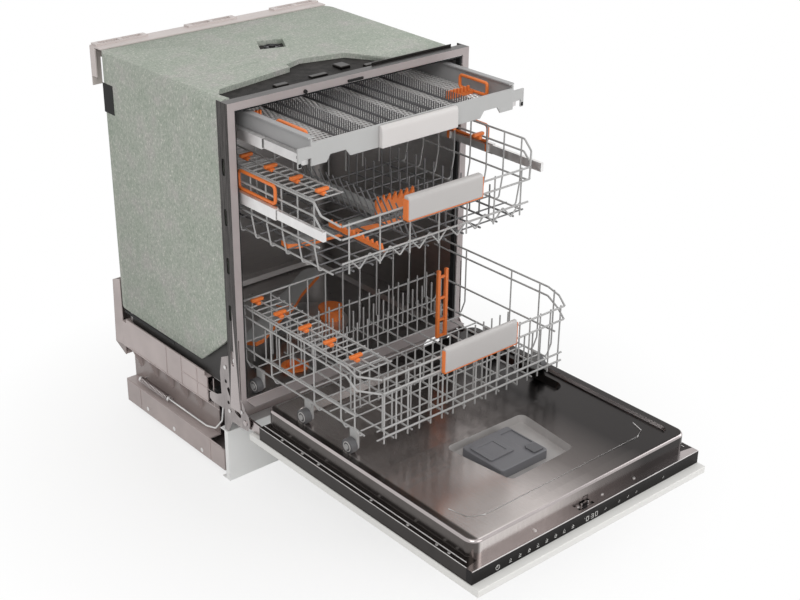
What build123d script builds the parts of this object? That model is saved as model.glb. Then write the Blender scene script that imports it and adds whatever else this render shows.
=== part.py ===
from build123d import *
import math
import os

# Fully integrated dishwasher without its side panels, door folded down and all racks drawn out.
# X runs to the right seen from the front, Y to the back, Z up. Sizes below count from the floor
# and from the front frame's face. Millimetres.

# Each piece is saved with the origin on the floor under the plinth, this far behind that face
ORIGIN_BACK = 60.0

# Cabinet
FRAME_WIDTH = 598.0
FRAME_TOP = 825.0
FRAME_BOTTOM = 184.0
FRAME_COLUMN = 16.0
FRAME_TOP_BAR = 15.0
FRAME_SHEET = 1.5
FRAME_LIP = 35.0
TUB_SHEET = 1.2
TUB_FLOOR = 213.0
TUB_REAR = 475.0
TUB_CORNER = 45.0
TRACK_WIDTH = 46.0
FLOOR_SINK = 10.0
FELT_THICK = 10.0
FELT_REAR_THICK = 8.0
FELT_FRONT = 37.0
FELT_BOTTOM = 250.0
BITUMEN_THICK = 2.0

# Base
BASE_HALF = 293.0
BASE_FRONT = 76.0
BASE_REAR = 462.0
BASE_BOTTOM = 10.0
BASE_WALL = 3.0
BASE_LEDGE = 18.0
POCKET_DEPTH = 25.0
POCKET_LOW = 66.0
POCKET_HIGH = 150.0
RISER_REAR = 502.0
RISER_TOP = 300.0
PLINTH_FACE = 50.0
PLINTH_HEIGHT = 118.0
FOOT_RADIUS = 20.0
BALLAST_LENGTH = 480.0
BALLAST_DEPTH = 76.0
BALLAST_HEIGHT = 66.0

# Water circuit
SUMP_X = 33.0
SUMP_Y = 212.0
SUMP_RADIUS = 84.0
HUB_X = -10.0
HUB_Y = 242.0
HUB_RADIUS = 14.0
FILTER_X = 82.0
FILTER_Y = 189.0
FILTER_RADIUS = 25.0
SALT_X = -128.0
SALT_Y = 45.0
SALT_RADIUS = 24.0
INLET_THREAD_RADIUS = 13.2
DRAIN_SPIGOT_RADIUS = 10.0
INLET_THREAD_LENGTH = 18.0
DRAIN_SPIGOT_LENGTH = 26.0
PORT_COLLAR = 3.0
PORT_X = 210.0
PORT_Z = 60.0
SOCKET_X = 110.0

# Small clearances between separate pieces
SNUG = 0.3
GAP = 1.0
SEAT = 0.2
RUN_GAP = 0.3

# Rack wires: thick rails, thin cross wires, and how far two crossing wires melt into each other
WIRE = 2.0
THIN = 1.6
LAP = 0.2

os.makedirs("parts", exist_ok=True)

FRAME_HALF = FRAME_WIDTH / 2
OPENING_HALF = FRAME_HALF - FRAME_COLUMN
OPENING_TOP = FRAME_TOP - FRAME_TOP_BAR
TUB_HALF = OPENING_HALF - TUB_SHEET
TUB_CEILING = OPENING_TOP - TUB_SHEET
TUB_FLOOR_UNDER = TUB_FLOOR - TUB_SHEET
BITUMEN_HALF = OPENING_HALF + BITUMEN_THICK
FELT_HALF = BITUMEN_HALF + FELT_THICK
BITUMEN_TOP = OPENING_TOP + BITUMEN_THICK
FELT_TOP = BITUMEN_TOP + FELT_THICK
FELT_REAR_FACE = TUB_REAR + TUB_SHEET + GAP
FELT_REAR = FELT_REAR_FACE + FELT_REAR_THICK
FELT_CORNER = 50.0
BASE_TOP = TUB_FLOOR_UNDER
PORT_HOLES = {-1: INLET_THREAD_RADIUS + PORT_COLLAR + SNUG, 1: DRAIN_SPIGOT_RADIUS + PORT_COLLAR + SNUG}


def save(builder, label):
    piece = Pos(0, -ORIGIN_BACK, 0) * builder.part
    piece.label = label
    export_step(piece, "parts/" + label + ".step")


def block(low, high, mode=Mode.ADD):
    # A plain box between two opposite corners
    size = [b - a for a, b in zip(low, high)]
    with BuildSketch(Plane.XY.offset(low[2])) as base:
        with Locations(((low[0] + high[0]) / 2, (low[1] + high[1]) / 2)):
            Rectangle(size[0], size[1])
    extrude(base.sketch, amount=size[2], mode=mode)


def slab(axis, outline, low, high, mode=Mode.ADD):
    # A flat shape drawn across one axis and drawn out along it
    planes = {
        "x": Plane.YZ.offset(low),
        "y": Plane.XZ.offset(-high),
        "z": Plane.XY.offset(low),
    }
    with BuildSketch(planes[axis]) as shape:
        with BuildLine():
            Polyline(*outline, close=True)
        make_face()
    extrude(shape.sketch, amount=high - low, mode=mode)


def rods(axis, points, low, high, radius, mode=Mode.ADD):
    # Straight round bars, all along one axis and all the same length
    planes = {
        "x": Plane.YZ.offset(low),
        "y": Plane.XZ.offset(-high),
        "z": Plane.XY.offset(low),
    }
    with BuildSketch(planes[axis]) as dots:
        with Locations(*points):
            Circle(radius)
    extrude(dots.sketch, amount=high - low, mode=mode)


def bent(points, radius, bend):
    # One wire bent along a line of points
    with BuildLine() as path:
        FilletPolyline(*points, radius=bend)
    way = path.wires()[0]
    with BuildSketch(Plane(origin=way @ 0, z_dir=way % 0)) as dot:
        Circle(radius)
    sweep(dot.sketch, path=way)


# Front frame: folded sheet ring with a lip back along the sides and top
with BuildPart() as front_frame:
    ring_mid = (FRAME_TOP + FRAME_BOTTOM) / 2
    with BuildSketch(Plane.XZ.offset(-FRAME_SHEET)):
        with Locations((0, ring_mid)):
            Rectangle(FRAME_WIDTH, FRAME_TOP - FRAME_BOTTOM)
        with Locations((0, (OPENING_TOP + TUB_FLOOR_UNDER) / 2)):
            Rectangle(2 * OPENING_HALF, OPENING_TOP - TUB_FLOOR_UNDER, mode=Mode.SUBTRACT)
    extrude(amount=FRAME_SHEET)
    for s in (-1, 1):
        edge = sorted((s * FRAME_HALF, s * (FRAME_HALF - FRAME_SHEET)))
        block((edge[0], 0, FRAME_BOTTOM), (edge[1], FRAME_LIP, FRAME_TOP))
        inner = sorted((s * OPENING_HALF, s * (OPENING_HALF + FRAME_SHEET)))
        block((inner[0], 0, TUB_FLOOR_UNDER), (inner[1], 14, OPENING_TOP))
    block((-FRAME_HALF, 0, FRAME_TOP - FRAME_SHEET), (FRAME_HALF, 22, FRAME_TOP))
    lip_half = OPENING_HALF + FRAME_SHEET
    block((-lip_half, 0, OPENING_TOP), (lip_half, 14, OPENING_TOP + FRAME_SHEET))
    block((-lip_half, 0, TUB_FLOOR_UNDER - FRAME_SHEET), (lip_half, 14, TUB_FLOOR_UNDER))
    slots = [(20, z) for z in range(300, 800, 100)]
    with BuildSketch(Plane.YZ.offset(-FRAME_HALF)) as slot_row:
        with Locations(*slots):
            SlotOverall(34, 9, rotation=90)
    extrude(slot_row.sketch, amount=FRAME_WIDTH, mode=Mode.SUBTRACT)
    for s in (-1, 1):
        slit = sorted((s * FELT_HALF, s * (FRAME_HALF - FRAME_SHEET)))
        block((slit[0], -1, FRAME_BOTTOM - 1), (slit[1], FRAME_SHEET, 347), mode=Mode.SUBTRACT)
    block((-OPENING_HALF, -30, 207), (OPENING_HALF, 1, 209))
save(front_frame, "front_frame")

# Tub: two sides, ceiling, curved rear wall and sunk floor, seam-welded in the real machine
SIDE_END = TUB_REAR - TUB_CORNER
with BuildPart() as tub_wrapper:
    with BuildSketch(Plane.XY.offset(TUB_CEILING)):
        with Locations((0, (TUB_REAR + TUB_SHEET + 2) / 2)):
            Rectangle(2 * OPENING_HALF, TUB_REAR + TUB_SHEET - 2)
    extrude(amount=TUB_SHEET)
    rear_edges = tub_wrapper.edges().filter_by(Axis.Z).sort_by(Axis.Y)[-2:]
    fillet(rear_edges, radius=TUB_CORNER + TUB_SHEET)
    for s in (-1, 1):
        wall = sorted((s * TUB_HALF, s * OPENING_HALF))
        block((wall[0], 2, TUB_FLOOR), (wall[1], SIDE_END, TUB_CEILING))
save(tub_wrapper, "tub_wrapper")

with BuildPart() as tub_rear:
    with BuildSketch(Plane.XY.offset(TUB_FLOOR)):
        with Locations((0, 0)):
            Rectangle(2 * OPENING_HALF, 2 * (TUB_REAR + TUB_SHEET))
        fillet(vertices(), radius=TUB_CORNER + TUB_SHEET)
        with BuildSketch(mode=Mode.SUBTRACT):
            Rectangle(2 * TUB_HALF, 2 * TUB_REAR)
            fillet(vertices(), radius=TUB_CORNER)
        with Locations((0, SIDE_END - TUB_REAR)):
            Rectangle(4 * OPENING_HALF, 2 * TUB_REAR, mode=Mode.SUBTRACT)
    extrude(amount=TUB_CEILING - TUB_FLOOR)
save(tub_rear, "tub_rear_wall")

with BuildPart() as tub_floor:
    with BuildSketch(Plane.XY.offset(TUB_FLOOR_UNDER)):
        with Locations((0, (TUB_REAR + TUB_SHEET + 2) / 2)):
            Rectangle(2 * OPENING_HALF, TUB_REAR + TUB_SHEET - 2)
    extrude(amount=TUB_SHEET)
    fillet(tub_floor.edges().filter_by(Axis.Z).sort_by(Axis.Y)[-2:], radius=TUB_CORNER + TUB_SHEET)
    sink_half = OPENING_HALF - TRACK_WIDTH
    sink_mid = (TUB_REAR + 2) / 2
    sink_long = TUB_REAR - 42
    with BuildSketch(Plane.XY.offset(TUB_FLOOR)) as sink_out:
        with Locations((0, sink_mid)):
            RectangleRounded(2 * (sink_half + TUB_SHEET), sink_long + 2 * TUB_SHEET, 30)
    extrude(sink_out.sketch, amount=-(FLOOR_SINK + TUB_SHEET), taper=30)
    with BuildSketch(Plane.XY.offset(TUB_FLOOR)) as sink_in:
        with Locations((0, sink_mid)):
            RectangleRounded(2 * sink_half, sink_long, 30 - TUB_SHEET)
    extrude(sink_in.sketch, amount=-FLOOR_SINK, taper=30, mode=Mode.SUBTRACT)
    rods("z", [(SUMP_X, SUMP_Y)], 150, 250, SUMP_RADIUS, mode=Mode.SUBTRACT)
    rods("z", [(SALT_X, SALT_Y)], 150, 250, SALT_RADIUS + SNUG, mode=Mode.SUBTRACT)
save(tub_floor, "tub_floor")

# Rubber seal in a channel round the sides and top of the opening
SEAL_DEPTH = 12.0
SEAL_THICK = 3.8
with BuildPart() as tub_seal:
    with BuildSketch(Plane.XZ.offset(-(4 + SEAL_DEPTH))):
        with Locations((0, (TUB_FLOOR + TUB_CEILING) / 2)):
            Rectangle(2 * TUB_HALF, TUB_CEILING - TUB_FLOOR)
        inner_half = TUB_HALF - SEAL_THICK
        with Locations((0, (TUB_FLOOR + TUB_CEILING - SEAL_THICK) / 2)):
            Rectangle(2 * inner_half, TUB_CEILING - TUB_FLOOR - SEAL_THICK, mode=Mode.SUBTRACT)
    extrude(amount=SEAL_DEPTH)
save(tub_seal, "tub_seal")

# Sound deadening: bitumen sheet stuck on the sides and top, felt wrapped round it
with BuildPart() as bitumen_sheet:
    for s in (-1, 1):
        edge = sorted((s * OPENING_HALF, s * BITUMEN_HALF))
        block((edge[0], FELT_FRONT, 330), (edge[1], SIDE_END - 10, BITUMEN_TOP))
    block((-BITUMEN_HALF, FELT_FRONT, OPENING_TOP), (BITUMEN_HALF, SIDE_END - 10, BITUMEN_TOP))
    rods("z", [(6, 279)], 780, 830, 9, mode=Mode.SUBTRACT)
save(bitumen_sheet, "bitumen_sheet")

with BuildPart() as insulation_felt:
    with BuildSketch(Plane.XY.offset(FELT_BOTTOM)):
        Rectangle(2 * FELT_HALF, 2 * FELT_REAR)
        fillet(vertices(), radius=FELT_CORNER)
    extrude(amount=FELT_TOP - FELT_BOTTOM)
    with BuildSketch(Plane.XY.offset(FELT_BOTTOM)) as hollow:
        Rectangle(2 * BITUMEN_HALF, 2 * FELT_REAR_FACE)
        fillet(vertices(), radius=FELT_CORNER - FELT_THICK)
    extrude(hollow.sketch, amount=BITUMEN_TOP - FELT_BOTTOM, mode=Mode.SUBTRACT)
    side_view = [
        (FELT_FRONT, FELT_TOP),
        (FELT_FRONT, 336),
        (51, 322),
        (138, FELT_BOTTOM),
        (FELT_REAR, FELT_BOTTOM),
        (FELT_REAR, FELT_TOP),
    ]
    slab("x", side_view, -FELT_HALF, FELT_HALF, mode=Mode.INTERSECT)
    cut_out = [
        (-266, 20),
        (-272, 66),
        (-251, 92),
        (-65, 124),
        (-60, 142),
        (-16, 157),
        (80, 134),
        (150, 20),
    ]
    slab("z", cut_out, BITUMEN_TOP, FELT_TOP + 1, mode=Mode.SUBTRACT)
    diamond = [(-36, 262), (-6, 316), (48, 300), (18, 246)]
    slab("z", diamond, BITUMEN_TOP, FELT_TOP + 1, mode=Mode.SUBTRACT)
save(insulation_felt, "insulation_felt")

# Black pressed strip behind the frame's top bar, with the holes that hold it under the worktop
STRIP_LEFT = -285.0
STRIP_RIGHT = 270.0
STRIP_HOLE_SPAN = 480.0
STRIP_HOLE_RADIUS = 2.6
STRIP_BASE = OPENING_TOP + FRAME_SHEET
with BuildPart() as fixing_strip:
    block((STRIP_LEFT, 2, STRIP_BASE), (STRIP_RIGHT, 34, STRIP_BASE + 1.5))
    block((STRIP_LEFT, 23, STRIP_BASE), (STRIP_RIGHT, 24.5, FRAME_TOP - 1))
    block((60, 23, STRIP_BASE), (STRIP_RIGHT, 24.5, FRAME_TOP + 5))
    strip_holes = [(s * STRIP_HOLE_SPAN / 2, 29) for s in (-1, 1)]
    rods("z", strip_holes, STRIP_BASE - 1, STRIP_BASE + 3, STRIP_HOLE_RADIUS, mode=Mode.SUBTRACT)
save(fixing_strip, "fixing_strip")

# Rear top rail with three raised stiffening lugs and wrapped ends
RAIL_BACK = 506.0
RAIL_HALF = 290.0
RAIL_TOP = FELT_TOP + 3
with BuildPart() as rear_top_rail:
    profile = [
        (FELT_REAR + SNUG, FELT_TOP + SNUG),
        (462, FELT_TOP + SNUG),
        (462, RAIL_TOP),
        (RAIL_BACK - 2, RAIL_TOP),
        (RAIL_BACK, RAIL_TOP - 2),
        (RAIL_BACK, 796),
        (RAIL_BACK - 3, 796),
        (RAIL_BACK - 3, FELT_TOP - 3),
        (FELT_REAR + SNUG, FELT_TOP - 3),
    ]
    slab("x", profile, -RAIL_HALF, RAIL_HALF)
    for x in (-225, 0, 225):
        block((x - 62, 484, RAIL_TOP - 1), (x + 62, 504, RAIL_TOP + 4))
        block((x - 50, 487, RAIL_TOP), (x - 4, 501, RAIL_TOP + 5), mode=Mode.SUBTRACT)
        block((x + 4, 487, RAIL_TOP), (x + 50, 501, RAIL_TOP + 5), mode=Mode.SUBTRACT)
    for s in (-1, 1):
        edge = sorted((s * RAIL_HALF, s * (RAIL_HALF - 3)))
        block((edge[0], FELT_REAR + SNUG, 760), (edge[1], RAIL_BACK, FELT_TOP))
        drop = sorted((s * RAIL_HALF, s * (RAIL_HALF - 22)))
        block((drop[0], RAIL_BACK - 3, 740), (drop[1], RAIL_BACK, 800))
save(rear_top_rail, "rear_top_rail")

# Base tray: moulded walls with a spring pocket along each side and a riser at the back
with BuildPart() as base_tray:
    pocket_half = BASE_HALF - POCKET_DEPTH
    right_edge = [
        (BASE_HALF, BASE_TOP),
        (BASE_HALF, POCKET_HIGH),
        (pocket_half, POCKET_HIGH - 9),
        (pocket_half, POCKET_LOW),
        (BASE_HALF, POCKET_LOW),
        (BASE_HALF, BASE_BOTTOM),
    ]
    left_edge = [(-x, z) for x, z in reversed(right_edge)]
    with BuildSketch(Plane.XZ.offset(-BASE_REAR)):
        with BuildLine():
            Polyline(*right_edge, *left_edge, close=True)
        make_face()
    extrude(amount=BASE_REAR - BASE_FRONT)
    with BuildSketch(Plane.XZ.offset(-(BASE_REAR - BASE_WALL))) as core:
        with BuildLine():
            Polyline(*right_edge, *left_edge, close=True)
        make_face()
        offset(amount=-BASE_WALL, kind=Kind.INTERSECTION, mode=Mode.REPLACE)
    extrude(core.sketch, amount=BASE_REAR - BASE_FRONT - 2 * BASE_WALL, mode=Mode.SUBTRACT)
    inner = BASE_HALF - BASE_LEDGE
    block(
        (-inner, BASE_FRONT + BASE_WALL, BASE_TOP - BASE_WALL - 1),
        (inner, BASE_REAR - BASE_WALL, BASE_TOP + 1),
        mode=Mode.SUBTRACT,
    )
    for s in (-1, 1):
        edge = sorted((s * BASE_HALF, s * (BASE_HALF - BASE_WALL)))
        block((edge[0], 136, BASE_TOP - 5), (edge[1], 444, BASE_TOP + 9))
        rods("y", [(s * PORT_X, PORT_Z)], 450, 470, PORT_HOLES[s], mode=Mode.SUBTRACT)
    block((SOCKET_X - 14, 450, PORT_Z - 11), (SOCKET_X + 14, 470, PORT_Z + 11), mode=Mode.SUBTRACT)
    rib_ys = (431, 367, 303, 246, 190)
    for y in rib_ys:
        for s in (-1, 1):
            rib = [
                (s * pocket_half, POCKET_HIGH - 9),
                (s * (BASE_HALF - 2), POCKET_HIGH),
                (s * (pocket_half + 4), POCKET_LOW + 36),
                (s * pocket_half, POCKET_LOW + 36),
            ]
            slab("y", rib, y - 1, y + 1)
    riser = [
        (BASE_REAR, 126),
        (RISER_REAR, 145),
        (RISER_REAR - 8, RISER_TOP),
        (RISER_REAR - 11, RISER_TOP),
        (RISER_REAR - 3.2, 148),
        (BASE_REAR, 130),
    ]
    slab("x", riser, -290, 290)
    cheek = [
        (BASE_REAR - 1, 126),
        (RISER_REAR, 145),
        (RISER_REAR - 8, RISER_TOP),
        (BASE_REAR + 1.5, RISER_TOP + 11),
        (BASE_REAR + 1.5, 200),
        (BASE_REAR - 1, 200),
    ]
    for s in (-1, 1):
        edge = sorted((s * 288, s * 290))
        slab("x", cheek, edge[0], edge[1])
        bay = sorted((s * (pocket_half - 6), s * (BASE_HALF + 1)))
        block((bay[0], BASE_FRONT - 1, 60), (bay[1], 127, BASE_TOP + 12), mode=Mode.SUBTRACT)
    dip = OPENING_HALF - TRACK_WIDTH + 8
    block((-dip, BASE_FRONT - 1, 194), (dip, 100, BASE_TOP + 1), mode=Mode.SUBTRACT)
    foot_spots = [(s * 250, y) for s in (-1, 1) for y in (BASE_FRONT + 30, BASE_REAR - 22)]
    rods("z", foot_spots, 0, 20, 4.5, mode=Mode.SUBTRACT)
save(base_tray, "base_tray")

with BuildPart() as feet:
    rods("z", foot_spots, 0, 6, FOOT_RADIUS)
    rods("z", foot_spots, 6, BASE_BOTTOM, 9)
    rods("z", foot_spots, BASE_BOTTOM, 38, 4.2)
save(feet, "levelling_feet")

with BuildPart() as ballast:
    floor_z = BASE_BOTTOM + BASE_WALL
    rear = BASE_REAR - BASE_WALL - 34
    block(
        (-BALLAST_LENGTH / 2, rear - BALLAST_DEPTH, floor_z),
        (BALLAST_LENGTH / 2, rear, floor_z + BALLAST_HEIGHT),
    )
    chamfer(ballast.edges().filter_by(Axis.X), length=4)
save(ballast, "ballast_block")

with BuildPart() as plinth:
    block((-FRAME_HALF, PLINTH_FACE, 0), (FRAME_HALF, PLINTH_FACE + 2, PLINTH_HEIGHT))
    block((-FRAME_HALF, PLINTH_FACE, 0), (FRAME_HALF, BASE_FRONT, 2))
    block((-FRAME_HALF, PLINTH_FACE, PLINTH_HEIGHT - 2), (FRAME_HALF, BASE_FRONT, PLINTH_HEIGHT))
    for s in (-1, 1):
        edge = sorted((s * FRAME_HALF, s * (FRAME_HALF - 2)))
        block((edge[0], PLINTH_FACE, 0), (edge[1], PLINTH_FACE + 12, PLINTH_HEIGHT))
save(plinth, "plinth")

SPRING_X = 283.0
SPRING_Z = 80.0
SPRING_FRONT = 298.0
SPRING_REAR = 413.0
SPRING_RADIUS = 6.0
SPRING_WIRE = 1.1
SPRING_TURNS = 22
ROLLER_Y = 101.0
ROLLER_Z = 178.0
ROLLER_RADIUS = 17.0
ARM_IN = 288.0

# Hinge plates: pressed steel at each lower front corner, between the frame's lip and the base
PLATE_IN = FELT_HALF + SNUG
PLATE_THICK = 2.0
HINGE_Y = -13.0
HINGE_Z = 167.0
PLATE_OUTLINE = [
    (2, 345),
    (31, 345),
    (35, 300),
    (62, 286),
    (70, 250),
    (68, 200),
    (84, 192),
    (104, 190),
    (112, 184),
    (112, 172),
    (104, 167),
    (60, 168),
    (62, 120),
    (50, 120),
    (34, 150),
    (4, 150),
    (-20, 152),
    (-28, 168),
    (-26, 186),
    (-12, 196),
    (2, 214),
]
with BuildPart() as hinge_plates:
    for s in (-1, 1):
        edge = sorted((s * PLATE_IN, s * (PLATE_IN + PLATE_THICK)))
        slab("x", PLATE_OUTLINE, edge[0], edge[1])
    holes = [(14, 330), (24, 262), (50, 236), (20, 214), (44, 190)]
    rods("x", holes, -FRAME_HALF, FRAME_HALF, 4, mode=Mode.SUBTRACT)
    rods("x", [(HINGE_Y, HINGE_Z)], -FRAME_HALF, FRAME_HALF, 6.3, mode=Mode.SUBTRACT)
    with BuildSketch(Plane.YZ.offset(-FRAME_HALF)) as windows:
        with Locations((38, 214)):
            SlotOverall(26, 9, rotation=60)
        with Locations((12, 178)):
            SlotOverall(22, 10, rotation=20)
    extrude(windows.sketch, amount=FRAME_WIDTH, mode=Mode.SUBTRACT)
    for s in (-1, 1):
        stub = sorted((s * (SPRING_X - 8), s * (PLATE_IN + 1)))
        rods("x", [(ROLLER_Y, ROLLER_Z)], stub[0], stub[1], 4)
save(hinge_plates, "hinge_plates")

# Door springs: each lies in the base's side pocket, hooked at the back, its rod running forward
SPRING_PITCH = (SPRING_REAR - SPRING_FRONT - 8) / SPRING_TURNS
with BuildPart() as springs:
    for s in (-1, 1):
        x = s * SPRING_X
        with BuildLine() as coil:
            Helix(
                pitch=SPRING_PITCH,
                height=SPRING_PITCH * SPRING_TURNS,
                radius=SPRING_RADIUS,
                center=(x, SPRING_FRONT + 4, SPRING_Z),
                direction=(0, 1, 0),
            )
        way = coil.wires()[0]
        with BuildSketch(Plane(origin=way @ 0, z_dir=way % 0)) as dot:
            Circle(SPRING_WIRE)
        sweep(dot.sketch, path=way, is_frenet=True)
save(springs, "door_springs")

with BuildPart() as linkage:
    for s in (-1, 1):
        x = s * SPRING_X
        coil_front = SPRING_FRONT + 4 - SPRING_WIRE - SEAT
        coil_rear = SPRING_REAR - 4 + SPRING_WIRE + SEAT
        rods("y", [(x, SPRING_Z)], 150, coil_front, 2.2)
        rods("y", [(x, SPRING_Z)], coil_front - 6, coil_front, 6.5)
        rods("y", [(x, SPRING_Z)], coil_rear, coil_rear + 5, 6.5)
        hook = sorted((s * pocket_half, x))
        rods("x", [(coil_rear + 2.5, SPRING_Z)], hook[0], hook[1], 2.2)
        cable = [(x, 152, SPRING_Z), (x, 118, SPRING_Z + 10), (x, 92, SPRING_Z + 40)]
        cable += [(x, ROLLER_Y - ROLLER_RADIUS - 2.5, ROLLER_Z), (x, 70, ROLLER_Z + 22)]
        bent(cable, 2.2, 10)
        eye = sorted((x - s * 2, s * ARM_IN))
        rods("x", [(69, ROLLER_Z + 22)], eye[0], eye[1], 3)
        wide = sorted((s * (SPRING_X - 7), s * (SPRING_X + 7)))
        rods("x", [(ROLLER_Y, ROLLER_Z)], wide[0], wide[1], ROLLER_RADIUS)
        rods("x", [(ROLLER_Y, ROLLER_Z)], wide[0] - 1, wide[1] + 1, 4.3, mode=Mode.SUBTRACT)
save(linkage, "spring_linkage")

# Sump cup under the floor with the post that carries the lower spray arm
ARM_Z = 238.0
ARM_THICK = 10.0
SINK_UNDER = TUB_FLOOR - FLOOR_SINK - TUB_SHEET
SUMP_BOTTOM = 148.0
with BuildPart() as sump:
    rods("z", [(SUMP_X, SUMP_Y)], SINK_UNDER - 3, SINK_UNDER, SUMP_RADIUS + 11)
    rods("z", [(SUMP_X, SUMP_Y)], SUMP_BOTTOM, SINK_UNDER, SUMP_RADIUS - 1)
    rods("z", [(SUMP_X, SUMP_Y)], SUMP_BOTTOM + 3, SINK_UNDER + 1, SUMP_RADIUS - 4, mode=Mode.SUBTRACT)
    rods("z", [(HUB_X, HUB_Y)], SUMP_BOTTOM + 1, ARM_Z + 4, HUB_RADIUS - 2)
    rods("z", [(HUB_X, HUB_Y)], SUMP_BOTTOM + 1, ARM_Z - 3, HUB_RADIUS + 3)
    rods("z", [(HUB_X, HUB_Y)], SUMP_BOTTOM + 4, ARM_Z + 5, HUB_RADIUS - 5, mode=Mode.SUBTRACT)
    rods("z", [(FILTER_X, FILTER_Y)], SUMP_BOTTOM + 1, SUMP_BOTTOM + 16, FILTER_RADIUS + 3)
    rods("z", [(FILTER_X, FILTER_Y)], SUMP_BOTTOM + 4, SUMP_BOTTOM + 17, FILTER_RADIUS + SNUG, mode=Mode.SUBTRACT)
save(sump, "sump")

# Filter plate: fine perforated disc lying in the sump's mouth
with BuildPart() as filter_plate:
    plate_z = TUB_FLOOR - FLOOR_SINK
    rods("z", [(SUMP_X, SUMP_Y)], plate_z, plate_z + 1.5, SUMP_RADIUS + 7)
    rods("z", [(HUB_X, HUB_Y)], plate_z - 1, plate_z + 3, HUB_RADIUS + 4, mode=Mode.SUBTRACT)
    rods("z", [(FILTER_X, FILTER_Y)], plate_z - 1, plate_z + 3, FILTER_RADIUS + 1, mode=Mode.SUBTRACT)
save(filter_plate, "filter_plate")

# Cylindrical filter with its turning lid
with BuildPart() as filter_cylinder:
    low = SUMP_BOTTOM + 4 + SNUG
    rods("z", [(FILTER_X, FILTER_Y)], low, 226, FILTER_RADIUS)
    rods("z", [(FILTER_X, FILTER_Y)], low + 3, 223, FILTER_RADIUS - 2.5, mode=Mode.SUBTRACT)
    rods("z", [(FILTER_X, FILTER_Y)], 226, 231, FILTER_RADIUS + 4)
    slots = [
        (FILTER_X + 30 * math.cos(math.radians(a)), FILTER_Y + 30 * math.sin(math.radians(a)))
        for a in range(0, 360, 30)
    ]
    rods("z", slots, low + 22, 214, 6.5, mode=Mode.SUBTRACT)
save(filter_cylinder, "filter_cylinder")

# Salt container under the floor and its screw cap
with BuildPart() as salt_container:
    rods("z", [(SALT_X, SALT_Y)], 96, SINK_UNDER - 3, 52)
    rods("z", [(SALT_X, SALT_Y)], SINK_UNDER - 4, SINK_UNDER, SALT_RADIUS + 8)
    rods("z", [(SALT_X, SALT_Y)], 99, SINK_UNDER - 6, 49, mode=Mode.SUBTRACT)
    rods("z", [(SALT_X, SALT_Y)], 99, SINK_UNDER + 1, SALT_RADIUS - 4, mode=Mode.SUBTRACT)
    block((SALT_X - 60, -20, 90), (SALT_X + 60, BASE_FRONT + BASE_WALL + SNUG, 200), mode=Mode.SUBTRACT)
    block((150, 120, BASE_BOTTOM + BASE_WALL), (240, 320, 136))
save(salt_container, "water_softener")

with BuildPart() as salt_cap:
    rods("z", [(SALT_X, SALT_Y)], SINK_UNDER, 214, SALT_RADIUS)
    rods("z", [(SALT_X, SALT_Y)], 214, 216, SALT_RADIUS + 5)
    rods("z", [(SALT_X, SALT_Y)], 206, 217, SALT_RADIUS - 5, mode=Mode.SUBTRACT)
    block((SALT_X - SALT_RADIUS, SALT_Y - 3, 205), (SALT_X + SALT_RADIUS, SALT_Y + 3, 216))
save(salt_cap, "salt_cap")

# Pumps and heater in the base
with BuildPart() as wash_pump:
    rods("x", [(200, 92)], -190, -66, 40)
    rods("x", [(200, 92)], -66, -6, 48)
    rods("z", [(-28, 200)], 130, SUMP_BOTTOM, 15)
    block((-150, 180, BASE_BOTTOM + BASE_WALL), (-90, 220, 60))
    rods("x", [(290, 80)], -190, -30, 24)
    rods("x", [(290, 80)], -206, -14, 12)
    block((-150, 278, BASE_BOTTOM + BASE_WALL), (-90, 302, 62))
save(wash_pump, "wash_pump")

with BuildPart() as drain_pump:
    rods("x", [(165, 105)], 40, 112, 30)
    rods("z", [(70, 165)], 130, SUMP_BOTTOM, 12)
    block((60, 150, BASE_BOTTOM + BASE_WALL), (100, 180, 80))
save(drain_pump, "drain_pump")

# Inlet valve, drain outlet and mains inlet in the rear wall of the base
PORT_WALL = BASE_REAR - BASE_WALL
PORT_ROOT = BASE_REAR + 1
with BuildPart() as rear_ports:
    block((-PORT_X - 24, PORT_WALL - 28, PORT_Z - 24), (-PORT_X + 24, PORT_WALL, PORT_Z + 24))
    rods("y", [(-PORT_X, PORT_Z)], PORT_WALL - 1, PORT_ROOT, INLET_THREAD_RADIUS + PORT_COLLAR)
    rods("y", [(-PORT_X, PORT_Z)], PORT_WALL, PORT_ROOT + INLET_THREAD_LENGTH, INLET_THREAD_RADIUS)
    bore_end = PORT_ROOT + INLET_THREAD_LENGTH + 1
    rods("y", [(-PORT_X, PORT_Z)], PORT_WALL - 10, bore_end, INLET_THREAD_RADIUS - 4, mode=Mode.SUBTRACT)
    block((PORT_X - 20, PORT_WALL - 18, PORT_Z - 20), (PORT_X + 20, PORT_WALL, PORT_Z + 20))
    rods("y", [(PORT_X, PORT_Z)], PORT_WALL - 1, PORT_ROOT, DRAIN_SPIGOT_RADIUS + PORT_COLLAR)
    rods("y", [(PORT_X, PORT_Z)], PORT_WALL, PORT_ROOT + DRAIN_SPIGOT_LENGTH, DRAIN_SPIGOT_RADIUS)
    bore_end = PORT_ROOT + DRAIN_SPIGOT_LENGTH + 1
    rods("y", [(PORT_X, PORT_Z)], PORT_WALL - 10, bore_end, DRAIN_SPIGOT_RADIUS - 2, mode=Mode.SUBTRACT)
    block((SOCKET_X - 26, PORT_WALL - 30, PORT_Z - 18), (SOCKET_X + 26, PORT_WALL, PORT_Z + 18))
    block((SOCKET_X - 12, PORT_WALL - 20, PORT_Z - 9), (SOCKET_X + 12, PORT_WALL + 1, PORT_Z + 9), mode=Mode.SUBTRACT)
    for x in (-6, 0, 6):
        block((SOCKET_X + x - 1, PORT_WALL - 21, PORT_Z - 2), (SOCKET_X + x + 1, PORT_WALL - 8, PORT_Z + 2))
save(rear_ports, "rear_ports")

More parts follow.
